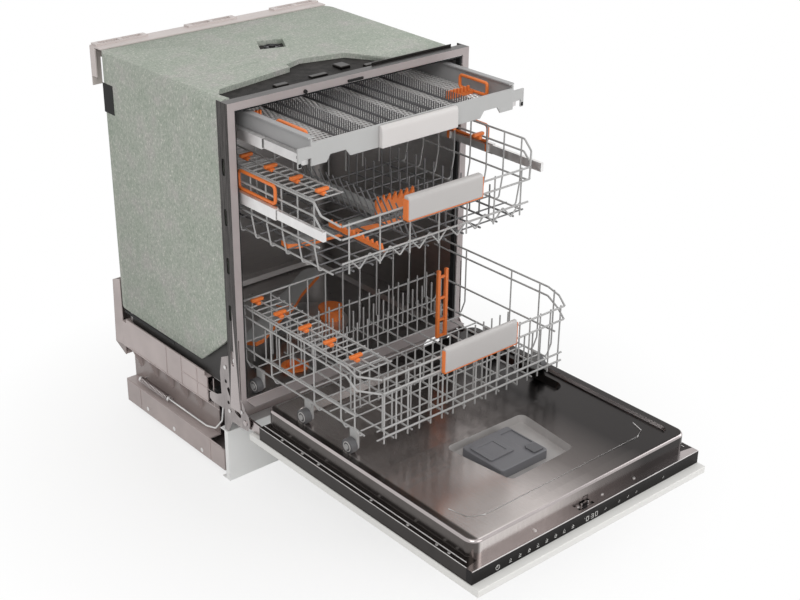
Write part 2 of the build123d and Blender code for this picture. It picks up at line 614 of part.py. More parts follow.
# Water duct up the rear wall and the fixed spray head under the ceiling
DUCT_HALF = 30.0
DUCT_DEPTH = 7.0
HEAD_DROP = 5.5
DUCT_FACE = TUB_REAR - DUCT_DEPTH
with BuildPart() as duct:
    block((-DUCT_HALF, DUCT_FACE, TUB_FLOOR), (DUCT_HALF, TUB_REAR, TUB_CEILING))
    chamfer(duct.edges().filter_by(Axis.Z).sort_by(Axis.Y)[:2], length=3)
    rods("z", [(0, 240)], TUB_CEILING - HEAD_DROP, TUB_CEILING, 32)
    block((-10, 240, TUB_CEILING - HEAD_DROP), (10, DUCT_FACE, TUB_CEILING))
save(duct, "water_duct")

# Door, folded down to its open stop: a pan of stainless sheet on a folded steel tray
DOOR_PLANE = 180.0
PAN_TOP = 220.0
PAN_START = -62.0
PAN_END = -648.0
PAN_HALF = 281.0
PANEL_FACE = -666.0
PANEL_BACK = -651.0
PANEL_BOTTOM = 152.5
PANEL_HALF = 298.0
RIM = 19.0
STEP_DEPTH = 7.0
RECESS_NEAR = -372.0
RECESS_FAR = PAN_START - RIM - 18
RUN_OUT = 30.0
RECESS_HALF = 243.0
RECESS_DEPTH = 12.0
DOOR_SHEET = 1.0
WELL_CORNERS = [(98, -391), (82, -541), (-86, -545), (-104, -387)]
WELL_DEPTH = 16.0

def pan_form(skin):
    # The pan's bulge, stepped floor, long recess and dispenser well, inset by the sheet's thickness
    pan_mid = (PAN_START + PAN_END) / 2
    pan_long = PAN_START - PAN_END
    top = PAN_TOP - skin
    with BuildPart() as form:
        with BuildSketch(Plane.XY.offset(DOOR_PLANE - DOOR_SHEET)) as crest:
            with Locations((0, pan_mid)):
                RectangleRounded(2 * (PAN_HALF - skin), pan_long - 2 * skin, 22 - skin)
        extrude(crest.sketch, amount=top - DOOR_PLANE + DOOR_SHEET)
        fillet(form.faces().sort_by(Axis.Z)[-1].edges(), radius=6 - skin)
        near = PAN_END + 26
        far = PAN_START + RUN_OUT
        with BuildSketch(Plane.XY.offset(top)) as step:
            with Locations((0, (near + far) / 2)):
                RectangleRounded(2 * (PAN_HALF - RIM + skin), far - near + 2 * skin, 20)
        extrude(step.sketch, amount=-STEP_DEPTH, taper=15, mode=Mode.SUBTRACT)
        with BuildSketch(Plane.XY.offset(top - STEP_DEPTH)) as recess:
            with Locations((0, (RECESS_FAR + RECESS_NEAR) / 2)):
                RectangleRounded(2 * (RECESS_HALF + skin), RECESS_FAR - RECESS_NEAR + 2 * skin, 26)
        extrude(recess.sketch, amount=-RECESS_DEPTH, taper=35, mode=Mode.SUBTRACT)
        with BuildSketch(Plane.XY.offset(top - STEP_DEPTH)) as well:
            with BuildLine():
                FilletPolyline(*WELL_CORNERS, radius=14, close=True)
            make_face()
            offset(amount=skin + 0.01)
        extrude(well.sketch, amount=-WELL_DEPTH, taper=12, mode=Mode.SUBTRACT)
    return form.part


outer_form = pan_form(0)
inner_form = pan_form(DOOR_SHEET)
with BuildPart() as door_liner:
    with BuildSketch(Plane.XY.offset(DOOR_PLANE - DOOR_SHEET)) as flange:
        with Locations((0, (PAN_START + PANEL_BACK) / 2)):
            Rectangle(2 * PANEL_HALF, PAN_START - PANEL_BACK)
    extrude(flange.sketch, amount=DOOR_SHEET)
    add(outer_form)
    add(inner_form, mode=Mode.SUBTRACT)
save(door_liner, "door_liner")

with BuildPart() as door_tray:
    block((-PANEL_HALF, PANEL_BACK, PANEL_BOTTOM), (PANEL_HALF, PAN_START, PANEL_BOTTOM + 1))
    for s in (-1, 1):
        edge = sorted((s * PANEL_HALF, s * (PANEL_HALF - 1)))
        block((edge[0], PANEL_BACK, PANEL_BOTTOM), (edge[1], PAN_START, DOOR_PLANE - DOOR_SHEET))
    block((-PANEL_HALF, PAN_START - 1, PANEL_BOTTOM), (PANEL_HALF, PAN_START, DOOR_PLANE - DOOR_SHEET))
    for s in (-1, 1):
        slit = sorted((s * (ARM_IN - 2), s * (ARM_IN + 8)))
        block((slit[0], PAN_START - 2, PANEL_BOTTOM + 2), (slit[1], PAN_START + 1, 178.5), mode=Mode.SUBTRACT)
save(door_tray, "door_tray")

with BuildPart() as door_felt:
    block((-ARM_IN + 6, PANEL_BACK + 3, PANEL_BOTTOM + 1), (ARM_IN - 6, PAN_START - 3, DOOR_PLANE - DOOR_SHEET))
save(door_felt, "door_felt")

# Control panel along the door's upper edge, which faces the front when the door is down
with BuildPart() as control_panel:
    block((-PANEL_HALF, PANEL_FACE, PANEL_BOTTOM), (PANEL_HALF, PANEL_BACK, DOOR_PLANE))
    fillet(control_panel.edges().filter_by(Axis.X).sort_by(Axis.Y)[:2], radius=1.5)
    block((-26, PANEL_BACK - 6, DOOR_PLANE - 12), (14, PANEL_BACK + 1, DOOR_PLANE + 1), mode=Mode.SUBTRACT)
    block((-20, PANEL_BACK - 4, DOOR_PLANE - 11), (8, PANEL_BACK, DOOR_PLANE - 1))
    block((-12, PANEL_BACK - 2, DOOR_PLANE - 1), (0, PANEL_BACK, DOOR_PLANE + 7))
save(control_panel, "control_panel")

# Furniture panel hung on the door's outer face
SKIN_FRONT = -684.0
SKIN_THICK = 14.0
with BuildPart() as furniture_panel:
    block((-300, SKIN_FRONT, PANEL_BOTTOM - SKIN_THICK), (300, -30, PANEL_BOTTOM))
    fillet(furniture_panel.edges().sort_by(Axis.Y)[:4], radius=1.5)
save(furniture_panel, "furniture_panel")

# Hinge arms: fixed in the door, turning on a pin in each hinge plate, tied to the springs behind
ARM_OUTLINE = [
    (-120, 156),
    (-120, 174),
    (-20, 178),
    (4, 181),
    (30, 196),
    (70, 206),
    (73, 194),
    (34, 182),
    (4, 160),
    (-14, 155),
]
with BuildPart() as hinge_arms:
    for s in (-1, 1):
        edge = sorted((s * ARM_IN, s * (ARM_IN + 4)))
        slab("x", ARM_OUTLINE, edge[0], edge[1])
        pin = sorted((s * ARM_IN, s * (FRAME_HALF - 0.5)))
        rods("x", [(HINGE_Y, HINGE_Z)], pin[0], pin[1], 6)
        rods("x", [(50, 194)], edge[0] - 1, edge[1] + 1, 3, mode=Mode.SUBTRACT)
        foot = sorted((s * (ARM_IN - 6), s * (ARM_IN + 4)))
        block((foot[0], -120, 153.5), (foot[1], -70, 158))
save(hinge_arms, "hinge_arms")

# Detergent dispenser in the door's well
DISPENSER_TOP = 216.0
CUP = (-72, -478, -20, -428)
with BuildPart() as dispenser:
    well_floor = PAN_TOP - STEP_DEPTH - WELL_DEPTH
    block((-82, -517, well_floor), (38, -409, DISPENSER_TOP))
    fillet(dispenser.edges().filter_by(Axis.Z), radius=6)
    chamfer(dispenser.faces().sort_by(Axis.Z)[-1].edges(), length=1.5)
    block((CUP[0], CUP[1], well_floor + 3), (CUP[2], CUP[3], DISPENSER_TOP + 1), mode=Mode.SUBTRACT)
    block((4, -480, DISPENSER_TOP - 2), (34, -424, DISPENSER_TOP + 1), mode=Mode.SUBTRACT)
    rods("z", [(18, -500)], DISPENSER_TOP - 8, DISPENSER_TOP + 1, 8, mode=Mode.SUBTRACT)
save(dispenser, "dispenser_body")

LID_TRAVEL = 48.0
with BuildPart() as lid:
    block((CUP[0] - 4, CUP[1] - 4, DISPENSER_TOP + SNUG), (CUP[2] + 4, CUP[3] + 4, DISPENSER_TOP + 3.3))
    fillet(lid.edges().filter_by(Axis.Z), radius=4)
    block((CUP[0] + 6, CUP[1] + 6, DISPENSER_TOP + 2), (CUP[2] - 6, CUP[3] - 6, DISPENSER_TOP + 4), mode=Mode.SUBTRACT)
save(lid, "dispenser_lid")

FLAP_Y = -486.5
FLAP_Z = DISPENSER_TOP + 2.3
with BuildPart() as flap:
    block((6, -512, DISPENSER_TOP + SNUG), (32, FLAP_Y, DISPENSER_TOP + 3))
    fillet(flap.edges().filter_by(Axis.Z), radius=3)
    rods("x", [(FLAP_Y, FLAP_Z)], 8, 30, 1.9)
save(flap, "rinse_aid_flap")

# Racks: how far each one stands out of the tub, and where each ends when pushed home
LOWER_RACK_OUT = 415.0
UPPER_RACK_OUT = 307.0
TRAY_OUT = 232.0
LOWER_HOME = 55.0
UPPER_HOME = 60.0
TRAY_HOME = 52.0
RACK_HOME_REAR = 465.0
TRAY_HOME_REAR = 460.0
RACK_HALF = 262.0
LOWER_FRONT = LOWER_HOME - LOWER_RACK_OUT
LOWER_REAR = RACK_HOME_REAR - LOWER_RACK_OUT
UPPER_FRONT = UPPER_HOME - UPPER_RACK_OUT
UPPER_REAR = RACK_HOME_REAR - UPPER_RACK_OUT
TRAY_FRONT = TRAY_HOME - TRAY_OUT
TRAY_REAR = TRAY_HOME_REAR - TRAY_OUT
CROSS = WIRE + THIN - LAP
END_HALF = RACK_HALF - 28
GRID_PITCH = 45.0
GRID_XS = [GRID_PITCH * (n - 4.5) for n in range(10)]

# Lower basket
LOWER_TOP = 400.0
LOWER_SECOND = 380.0
LOWER_LOW = 309.0
LOWER_GRID = 258.0
WHEEL_RADIUS = 15.0
WHEEL_WIDTH = 14.0
WHEEL_X = 251.0
WHEEL_Z = TUB_FLOOR + WHEEL_RADIUS
WHEEL_YS = [LOWER_FRONT + 74, LOWER_FRONT + 212, LOWER_FRONT + 370]
AXLE_RADIUS = 3.0


def handle(front, reach, low, high):
    # A grip moulded hollow from behind
    with BuildPart() as grip:
        block((-HANDLE_HALF, front - reach, low), (HANDLE_HALF, front - WIRE - 0.5, high))
        fillet(grip.edges().group_by(Axis.Y)[0], radius=3)
        block(
            (-HANDLE_HALF + 4, front - reach + 3, low + 4),
            (HANDLE_HALF - 4, front, high - 4),
            mode=Mode.SUBTRACT,
        )
    return grip


HANDLE_HALF = 95.0

with BuildPart() as lower_walls:
    for s in (-1, 1):
        x = s * RACK_HALF
        for z, front_z in ((LOWER_TOP, LOWER_TOP - 8), (LOWER_SECOND, LOWER_SECOND - 17)):
            bend = [
                (x, LOWER_REAR, z),
                (x, LOWER_FRONT + 70, z),
                (x, LOWER_FRONT + 40, front_z),
                (s * (END_HALF + 2), LOWER_FRONT + 1, front_z),
            ]
            bent(bend, WIRE, 8)
        rods("y", [(x, LOWER_LOW)], LOWER_FRONT + 45, LOWER_REAR, WIRE)
        rods("y", [(s * 240, LOWER_GRID)], LOWER_FRONT + 45, LOWER_REAR, WIRE)
        for y in (LOWER_FRONT + 50, LOWER_FRONT + 90, LOWER_FRONT + 170, LOWER_FRONT + 305, LOWER_REAR - 20):
            up = s * (RACK_HALF - CROSS)
            bent([(up, y, LOWER_TOP + 1), (up, y, 280), (s * 248, y, LOWER_GRID), (s * 239, y, LOWER_GRID)], THIN, 6)
        for y in WHEEL_YS:
            post = sorted((s * 236.5, s * 243))
            block((post[0], y - 10, WHEEL_Z - 7), (post[1], y + 10, LOWER_GRID + 1))
            pin = sorted((s * 242, s * (WHEEL_X + WHEEL_WIDTH / 2 + 2.5)))
            rods("x", [(y, WHEEL_Z)], pin[0], pin[1], AXLE_RADIUS)
            cap = sorted((s * (WHEEL_X + WHEEL_WIDTH / 2 + 0.5), s * (WHEEL_X + WHEEL_WIDTH / 2 + 2.5)))
            rods("x", [(y, WHEEL_Z)], cap[0], cap[1], AXLE_RADIUS + 2.5)
    front_wires = [(LOWER_FRONT, z) for z in (LOWER_TOP - 8, LOWER_SECOND - 17, 290, 272)]
    rods("x", front_wires, -END_HALF, END_HALF, WIRE)
    front_posts = [((n - 8) * 28.5, LOWER_FRONT + CROSS) for n in range(17)]
    rods("z", front_posts, 256, LOWER_TOP - 6, THIN)
    rear_half = RACK_HALF - WIRE - SEAT
    rods("x", [(LOWER_REAR - WIRE, z) for z in (LOWER_TOP, LOWER_LOW)], -rear_half, rear_half, WIRE)
    rear_posts = [((n - 5) * 46, LOWER_REAR - WIRE - CROSS) for n in range(11)]
    rods("z", rear_posts, 262, LOWER_TOP + 1, THIN)
save(lower_walls, "lower_basket_walls")

LOWER_ROWS = [LOWER_FRONT + 12 + 46 * n for n in range(9)]
CROSS_HALF = 240 - WIRE - SEAT
with BuildPart() as lower_floor:
    rods("y", [(x, LOWER_GRID) for x in GRID_XS], LOWER_FRONT + 6, LOWER_REAR - 9, WIRE)
    rods("x", [(y, LOWER_GRID + CROSS) for y in LOWER_ROWS], -CROSS_HALF, CROSS_HALF, THIN)
    fixed = [(x * 1.0, LOWER_ROWS[n] + 2 * THIN - LAP) for n in (6, 7, 8) for x in range(-216, 217, 27)]
    rods("z", fixed, LOWER_GRID + 3, 335, THIN)
save(lower_floor, "lower_basket_floor")

lower_handle = handle(LOWER_FRONT, 11.5, 358, 411)
save(lower_handle, "lower_handle")

for n, y in enumerate(WHEEL_YS):
    with BuildPart() as wheels:
        for s in (-1, 1):
            wide = sorted((s * (WHEEL_X - WHEEL_WIDTH / 2), s * (WHEEL_X + WHEEL_WIDTH / 2)))
            rods("x", [(y, WHEEL_Z)], wide[0], wide[1], WHEEL_RADIUS)
            rods("x", [(y, WHEEL_Z)], wide[0] - 1, wide[1] + 1, AXLE_RADIUS + SNUG, mode=Mode.SUBTRACT)
    save(wheels, "basket_wheels_" + str(n + 1))

# Folding tine rows of the lower basket, each on its own rod
TINE_HEIGHT = 78.0
LOWER_TINE_YS = {"front": LOWER_FRONT + 36, "middle": LOWER_FRONT + 128}
TINE_ROD_Z = LOWER_GRID + WIRE + THIN + 0.2
for row, y in LOWER_TINE_YS.items():
    with BuildPart() as tines:
        rods("x", [(y, TINE_ROD_Z)], -218, 218, THIN)
        spots = [(x, y - 2 * THIN + LAP) for x in range(-207, 208, 23)]
        rods("z", spots, TINE_ROD_Z - 1, TINE_ROD_Z + TINE_HEIGHT, THIN)
    save(tines, "lower_tines_" + row)


def shelf(s, front, rear, z, width):
    # Ladder-shaped cup shelf, hinged along its outer rail
    outer = RACK_HALF - CROSS - 2 * THIN - SEAT
    with BuildPart() as ladder:
        rods("y", [(s * outer, z), (s * (outer - 32), z), (s * (outer - width + 8), z)], front, rear, THIN)
        count = int((rear - front - 8) / 19)
        ends = sorted((s * outer, s * (outer - width)))
        rods("x", [(front + 6 + 19 * n, z - 2 * THIN + LAP) for n in range(count + 1)], ends[0], ends[1], THIN)
    return ladder


LOWER_SHELF_Z = LOWER_TOP
lower_shelf = shelf(-1, LOWER_FRONT + 32, LOWER_REAR - 14, LOWER_SHELF_Z, 74)
save(lower_shelf, "lower_cup_shelf")

# Orange two-pronged bottle post standing on the grid
POST_LEFT = 117.0
POST_RIGHT = 145.0
POST_Y = LOWER_ROWS[5]
POST_FOOT = LOWER_GRID + CROSS + THIN + SEAT
with BuildPart() as post:
    for x in (POST_LEFT, POST_RIGHT - 7):
        block((x, POST_Y - 3, POST_FOOT), (x + 7, POST_Y + 3, 416))
    for z in (POST_FOOT, 300, 350, 398):
        block((POST_LEFT, POST_Y - 2, z), (POST_RIGHT, POST_Y + 2, z + 5))
save(post, "bottle_post")


def spray_arm(x, y, z, half, angle, bore):
    # A flat hollow-looking blade with a hub that turns on the post
    turn = math.radians(angle)
    quarter = [(0, 27), (60, 20), (half - 25, 22), (half - 4, 13)]
    around = quarter + [(a, -b) for a, b in reversed(quarter)]
    around += [(-a, -b) for a, b in quarter[1:]] + [(-a, b) for a, b in reversed(quarter[1:])]
    blade = [
        (x + a * math.cos(turn) - b * math.sin(turn), y + a * math.sin(turn) + b * math.cos(turn))
        for a, b in around
    ]
    with BuildPart() as arm:
        slab("z", blade, z, z + ARM_THICK)
        rods("z", [(x, y)], z - 1, z + ARM_THICK + 3, bore + 8)
        rods("z", [(x, y)], z - 2, z + 5, bore + SNUG, mode=Mode.SUBTRACT)
    return arm


lower_arm = spray_arm(HUB_X, HUB_Y, ARM_Z, 195, 32, HUB_RADIUS - 2)
save(lower_arm, "lower_spray_arm")

# Upper basket
UPPER_TOP = 690.0
UPPER_SECOND = 664.0
UPPER_LOW = 630.0
UPPER_GRID = 553.0
RUNNER_IN = 268.0
RUNNER_OUT = 275.0
RUNNER_LOW = 631.0
RUNNER_HIGH = 649.0
with BuildPart() as upper_walls:
    for s in (-1, 1):
        x = s * RACK_HALF
        for z, front_z in ((UPPER_TOP, 650), (UPPER_SECOND, 625)):
            bend = [
                (x, UPPER_REAR, z),
                (x, UPPER_FRONT + 44, z),
                (x, UPPER_FRONT + 24, (z + front_z) / 2),
                (s * (END_HALF + 2), UPPER_FRONT + 1, front_z),
            ]
            bent(bend, WIRE, 8)
        rods("y", [(x, UPPER_LOW - 22)], UPPER_FRONT + 30, UPPER_REAR, WIRE)
        rods("y", [(s * 240, UPPER_GRID)], UPPER_FRONT + 20, UPPER_REAR, WIRE)
        for n in range(8):
            y = UPPER_FRONT + 48 + 48 * n
            up = s * (RACK_HALF - CROSS)
            bent([(up, y, UPPER_TOP + 1), (up, y, 600), (s * 250, y, UPPER_GRID), (s * 239, y, UPPER_GRID)], THIN, 6)
    front_wires = [(UPPER_FRONT, z) for z in (650, 625, 578)]
    rods("x", front_wires, -END_HALF, END_HALF, WIRE)
    front_posts = [((n - 3) * 72, UPPER_FRONT + CROSS) for n in range(7)]
    rods("z", front_posts, 553, 652, THIN)
    zigzag = [((n - 9) * 24, UPPER_FRONT + CROSS, 556 if n % 2 else 581) for n in range(19)]
    bent(zigzag, THIN, 3)
    rear_half = RACK_HALF - WIRE - SEAT
    rods("x", [(UPPER_REAR - WIRE, z) for z in (UPPER_TOP, UPPER_LOW)], -rear_half, rear_half, WIRE)
    rear_posts = [((n - 5) * 46 + 5, UPPER_REAR - WIRE - CROSS) for n in range(10)]
    rods("z", rear_posts, 560, UPPER_TOP + 1, THIN)
save(upper_walls, "upper_basket_walls")

with BuildPart() as upper_floor:
    rods("y", [(x, UPPER_GRID) for x in GRID_XS], UPPER_FRONT + 7, UPPER_REAR - 9, WIRE)
    upper_rows = [UPPER_FRONT + 16 + 46 * n for n in range(9)]
    rods("x", [(y, UPPER_GRID + CROSS) for y in upper_rows], -CROSS_HALF, CROSS_HALF, THIN)
    spots = [(x + CROSS, UPPER_FRONT + 34 + 27 * n) for x in (GRID_XS[6], GRID_XS[8]) for n in range(13)]
    rods("z", spots, UPPER_GRID - 1, 622, THIN)
save(upper_floor, "upper_basket_floor")

upper_handle = handle(UPPER_FRONT, 17, 626, 674.5)
save(upper_handle, "upper_handle")

FOLD_X = -30.0
FOLD_Z = UPPER_GRID + CROSS + 2 * THIN + 0.2
FOLD_LEAN = 25.0
with BuildPart() as upper_tines:
    rods("y", [(FOLD_X, FOLD_Z)], UPPER_FRONT + 20, UPPER_REAR - 22, THIN)
    lean = math.radians(FOLD_LEAN)
    tilt = Plane(origin=(FOLD_X, 0, FOLD_Z), x_dir=(0, 1, 0), z_dir=(-math.sin(lean), 0, math.cos(lean)))
    with BuildSketch(tilt) as dots:
        with Locations(*[(UPPER_FRONT + 30 + 21 * n, 0) for n in range(16)]):
            Circle(THIN)
    extrude(dots.sketch, amount=84)
save(upper_tines, "upper_tines")

UPPER_SHELF_Z = UPPER_TOP
upper_shelf = shelf(-1, UPPER_FRONT + 50, UPPER_REAR - 14, UPPER_SHELF_Z, 68)
save(upper_shelf, "upper_cup_shelf")

# Feed pipe and post that carry the upper spray arm under the basket
UPPER_HUB_Y = 245.0 - UPPER_RACK_OUT
UPPER_ARM_Z = 537.0
PIPE_Z = UPPER_GRID + CROSS + THIN + SEAT
PIPE_TOP = PIPE_Z + 11
with BuildPart() as feed:
    block((-14, UPPER_HUB_Y - 18, PIPE_Z), (14, UPPER_REAR - 8, PIPE_TOP))
    rods("z", [(0, UPPER_HUB_Y)], UPPER_ARM_Z - 1, PIPE_Z + 2, 9)
    rods("z", [(0, UPPER_HUB_Y)], UPPER_ARM_Z - 5, UPPER_ARM_Z - 1.5, 14)
save(feed, "upper_spray_feed")

turned = math.radians(-5)
with BuildPart() as upper_arm:
    quarter = [(0, 27), (60, 20), (192, 22), (212, 12)]
    around = quarter + [(a, -b) for a, b in reversed(quarter)]
    around += [(-a, -b) for a, b in quarter[1:]] + [(-a, b) for a, b in reversed(quarter[1:])]
    blade = [
        (a * math.cos(turned) - b * math.sin(turned), UPPER_HUB_Y + a * math.sin(turned) + b * math.cos(turned))
        for a, b in around
    ]
    slab("z", blade, UPPER_ARM_Z, UPPER_ARM_Z + ARM_THICK)
    rods("z", [(0, UPPER_HUB_Y)], UPPER_ARM_Z - 1, UPPER_ARM_Z + ARM_THICK + 2, 18)
    rods("z", [(0, UPPER_HUB_Y)], UPPER_ARM_Z - 2, UPPER_ARM_Z + 20, 9 + SNUG, mode=Mode.SUBTRACT)
save(upper_arm, "upper_spray_arm")

# Runners, height adjusters and orange combs of the upper basket
RUNNER_FRONT = 62.0 - UPPER_RACK_OUT
RUNNER_REAR = 440.0 - UPPER_RACK_OUT
with BuildPart() as fittings:
    for s in (-1, 1):
        edge = sorted((s * RUNNER_IN, s * RUNNER_OUT))
        block((edge[0], RUNNER_FRONT, RUNNER_LOW), (edge[1], RUNNER_REAR, RUNNER_HIGH))
        ring = sorted((s * 264.6, s * 269))
        block((ring[0], -99, 648), (ring[1], 22, 692))
        block((ring[0] - 1, -91, 668), (ring[1] + 1, 14, 685), mode=Mode.SUBTRACT)
        for y in (-95, 18):
            pad = sorted((s * (RACK_HALF + WIRE + 0.2), s * RUNNER_OUT))
            block((pad[0], y - 4, 632), (pad[1], y + 4, 649))
    teeth = [(-222, 560.2), (-61, 560.2)]
    for n in range(12):
        y = -61 - n * 13.4
        teeth += [(y, 569), (y - 6, 575), (y - 9, 566)]
    slab("x", teeth, -118, -113)
    row = [(-27, PIPE_TOP)]
    for n in range(7):
        x = -27 + n * 15
        row += [(x, 596), (x + 6, 606), (x + 9, 590)]
    row += [(76, PIPE_TOP)]
    slab("y", row, -95, -90)
save(fittings, "upper_fittings")

# Telescopic rails of the upper basket and of the tray
RAIL_SHEET = 1.5
TRAY_RUN_LOW = 750.0
TRAY_RUN_HIGH = 767.0
UPPER_MID_FRONT = 45.0 - UPPER_RACK_OUT / 2
UPPER_MID_REAR = 435.0 - UPPER_RACK_OUT / 2
TRAY_MID_FRONT = 60.0 - TRAY_OUT / 2
TRAY_MID_REAR = 430.0 - TRAY_OUT / 2


def channel(web, lip, low, high, front, rear):
    # A pair of C-shaped rails open towards the middle of the machine
    with BuildPart() as pair:
        for s in (-1, 1):
            back = sorted((s * web, s * (web + RAIL_SHEET)))
            side = sorted((s * web, s * lip))
            block((back[0], front, low), (back[1], rear, high))
            block((side[0], front, low), (side[1], rear, low + RAIL_SHEET))
            block((side[0], front, high - RAIL_SHEET), (side[1], rear, high))
    return pair


STEP_OUT = RUN_GAP + RAIL_SHEET
fixed_web = TUB_HALF - RAIL_SHEET
upper_fixed = channel(fixed_web, 271, RUNNER_LOW - 2 * STEP_OUT, RUNNER_HIGH + 2 * STEP_OUT, 43, SIDE_END - 2)
tray_fixed = channel(fixed_web, 262, TRAY_RUN_LOW - 2 * STEP_OUT, TRAY_RUN_HIGH + 2 * STEP_OUT, 60, SIDE_END - 2)
with BuildPart() as fixed_rails:
    add(upper_fixed.part)
    add(tray_fixed.part)
save(fixed_rails, "fixed_rails")

mid_web = RUNNER_OUT + GAP
upper_mid = channel(mid_web, 269.5, RUNNER_LOW - STEP_OUT, RUNNER_HIGH + STEP_OUT, UPPER_MID_FRONT, UPPER_MID_REAR)
save(upper_mid, "upper_middle_rails")

tray_mid = channel(264, 256, TRAY_RUN_LOW - STEP_OUT, TRAY_RUN_HIGH + STEP_OUT, TRAY_MID_FRONT, TRAY_MID_REAR)
save(tray_mid, "tray_middle_rails")

# Cutlery tray: frame with hanging apron, perforated floor with tine bands, orange holders, grip
TRAY_HALF = 248.0
TRAY_RIM = 800.0
TRAY_FLOOR = 763.0
with BuildPart() as tray_frame:
    apron = [
        (-TRAY_HALF, 747),
        (-214, 747),
        (-204, 762),
        (-172, 762),
        (-160, 747),
        (160, 747),
        (172, 762),
        (204, 762),
        (214, 747),
        (TRAY_HALF, 747),
        (TRAY_HALF, 790),
        (-TRAY_HALF, 790),
    ]
    slab("y", apron, TRAY_FRONT, TRAY_FRONT + 3)
    for s in (-1, 1):
        wall = sorted((s * TRAY_HALF, s * (TRAY_HALF - 3)))
        block((wall[0], TRAY_FRONT, TRAY_FLOOR - 3), (wall[1], TRAY_REAR, TRAY_RIM - 4))
        rim = sorted((s * (TRAY_HALF + 4), s * (TRAY_HALF - 9)))
        block((rim[0], TRAY_FRONT + 3, TRAY_RIM - 4), (rim[1], TRAY_REAR, TRAY_RIM - 1))
        wing = sorted((s * (TRAY_HALF - 3), s * 277))
        block((wing[0], TRAY_FRONT, 762), (wing[1], TRAY_FRONT + 3.5, 784))
        tip = sorted((s * 270, s * 277))
        block((tip[0], TRAY_FRONT, 748), (tip[1], TRAY_FRONT + 3.5, 784))
        runner = sorted((s * 250, s * 262))
        block((runner[0], TRAY_FRONT + 6, TRAY_RUN_LOW), (runner[1], 440 - TRAY_OUT, TRAY_RUN_HIGH))
        hanger = sorted((s * (TRAY_HALF - 1), s * 251))
        block((hanger[0], TRAY_FRONT + 20, 752), (hanger[1], TRAY_REAR - 20, 765))
    block((-TRAY_HALF, TRAY_REAR - 3, TRAY_FLOOR - 3), (TRAY_HALF, TRAY_REAR, TRAY_RIM - 4))
    block((-TRAY_HALF, TRAY_FRONT, TRAY_FLOOR - 3), (TRAY_HALF, TRAY_REAR, TRAY_FLOOR))
    block(
        (-TRAY_HALF + 10, TRAY_FRONT + 10, TRAY_FLOOR - 4),
        (TRAY_HALF - 10, TRAY_REAR - 10, TRAY_FLOOR + 1),
        mode=Mode.SUBTRACT,
    )
save(tray_frame, "tray_frame")

with BuildPart() as tray_floor:
    block((-TRAY_HALF + 3.2, TRAY_FRONT + 3.4, TRAY_FLOOR), (TRAY_HALF - 3.2, TRAY_REAR - 3.2, TRAY_FLOOR + 1.5))
    with BuildSketch(Plane.XY.offset(TRAY_FLOOR - 1)) as slots:
        with Locations((0, (TRAY_FRONT + TRAY_REAR) / 2)):
            with GridLocations(33, 23, 14, 16):
                SlotOverall(24, 9)
    extrude(slots.sketch, amount=4, mode=Mode.SUBTRACT)
    for x in (-148, -115, -49, -16, 50, 83, 149):
        teeth = [(TRAY_REAR - 8, TRAY_FLOOR + 1), (TRAY_FRONT + 12, TRAY_FLOOR + 1)]
        y = TRAY_FRONT + 12
        while y < TRAY_REAR - 24:
            teeth += [(y, TRAY_FLOOR + 5), (y + 3, TRAY_FLOOR + 25), (y + 5, TRAY_FLOOR + 25), (y + 8, TRAY_FLOOR + 5)]
            y += 16
        slab("x", teeth, x - 1.2, x + 1.2)
save(tray_floor, "tray_floor")

with BuildPart() as holders:
    top = TRAY_FLOOR + 1.5
    block((-240, 128, top), (-214, 176, top + 7))
    for n in range(4):
        block((-240, 130 + 12 * n, top + 6), (-214, 134 + 12 * n, top + 24))
    block((-238.5, -144, top), (-231, -62, top + 34))
    block((-240, -137, top + 5), (-230, -69, top + 28), mode=Mode.SUBTRACT)
    block((222, -134, top), (228, -50, top + 31))
    block((221, -127, top + 7), (229, -57, top + 24), mode=Mode.SUBTRACT)
    block((152, -96.5, top), (221.7, -90.5, top + 7))
    for n in range(6):
        block((152 + 10 * n, -96.5, top + 6), (157 + 10 * n, -90.5, top + 18))
    block((-12, 176, top), (46, 182, top + 31))
    block((-6, 175, top + 5), (40, 183, top + 24), mode=Mode.SUBTRACT)
save(holders, "tray_holders")

with BuildPart() as tray_handle:
    block((-94, TRAY_FRONT - 10, 746), (94, TRAY_FRONT, 788))
    fillet(tray_handle.edges().group_by(Axis.Y)[0], radius=3)
    block((-90, TRAY_FRONT - 7, 745), (90, TRAY_FRONT - 2, 784), mode=Mode.SUBTRACT)
save(tray_handle, "tray_handle")
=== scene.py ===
import math

import bpy
import bmesh
from mathutils import Matrix, Vector


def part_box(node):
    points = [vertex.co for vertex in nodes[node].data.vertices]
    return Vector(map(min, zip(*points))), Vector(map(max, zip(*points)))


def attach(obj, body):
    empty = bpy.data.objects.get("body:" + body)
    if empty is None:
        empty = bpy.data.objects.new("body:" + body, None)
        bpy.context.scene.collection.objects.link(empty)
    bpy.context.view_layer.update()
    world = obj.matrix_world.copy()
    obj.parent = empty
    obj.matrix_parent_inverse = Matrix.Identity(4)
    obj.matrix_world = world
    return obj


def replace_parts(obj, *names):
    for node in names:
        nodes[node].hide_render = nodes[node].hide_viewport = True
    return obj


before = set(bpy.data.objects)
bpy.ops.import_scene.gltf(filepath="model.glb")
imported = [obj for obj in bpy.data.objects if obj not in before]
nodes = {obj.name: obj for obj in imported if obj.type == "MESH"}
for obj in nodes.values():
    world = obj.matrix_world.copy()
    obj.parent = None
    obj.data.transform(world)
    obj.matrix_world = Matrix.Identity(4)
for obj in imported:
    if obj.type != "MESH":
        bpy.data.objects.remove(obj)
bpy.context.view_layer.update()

# Places below are in metres and count from the front frame's face; the plinth's front lies behind it
PLINTH_BACK = 0.050
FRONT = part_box("plinth")[0][1] - PLINTH_BACK
BOTH = (-1, 1)
CAD_SHARP = math.radians(32)
SCENE_SHARP = math.radians(35)


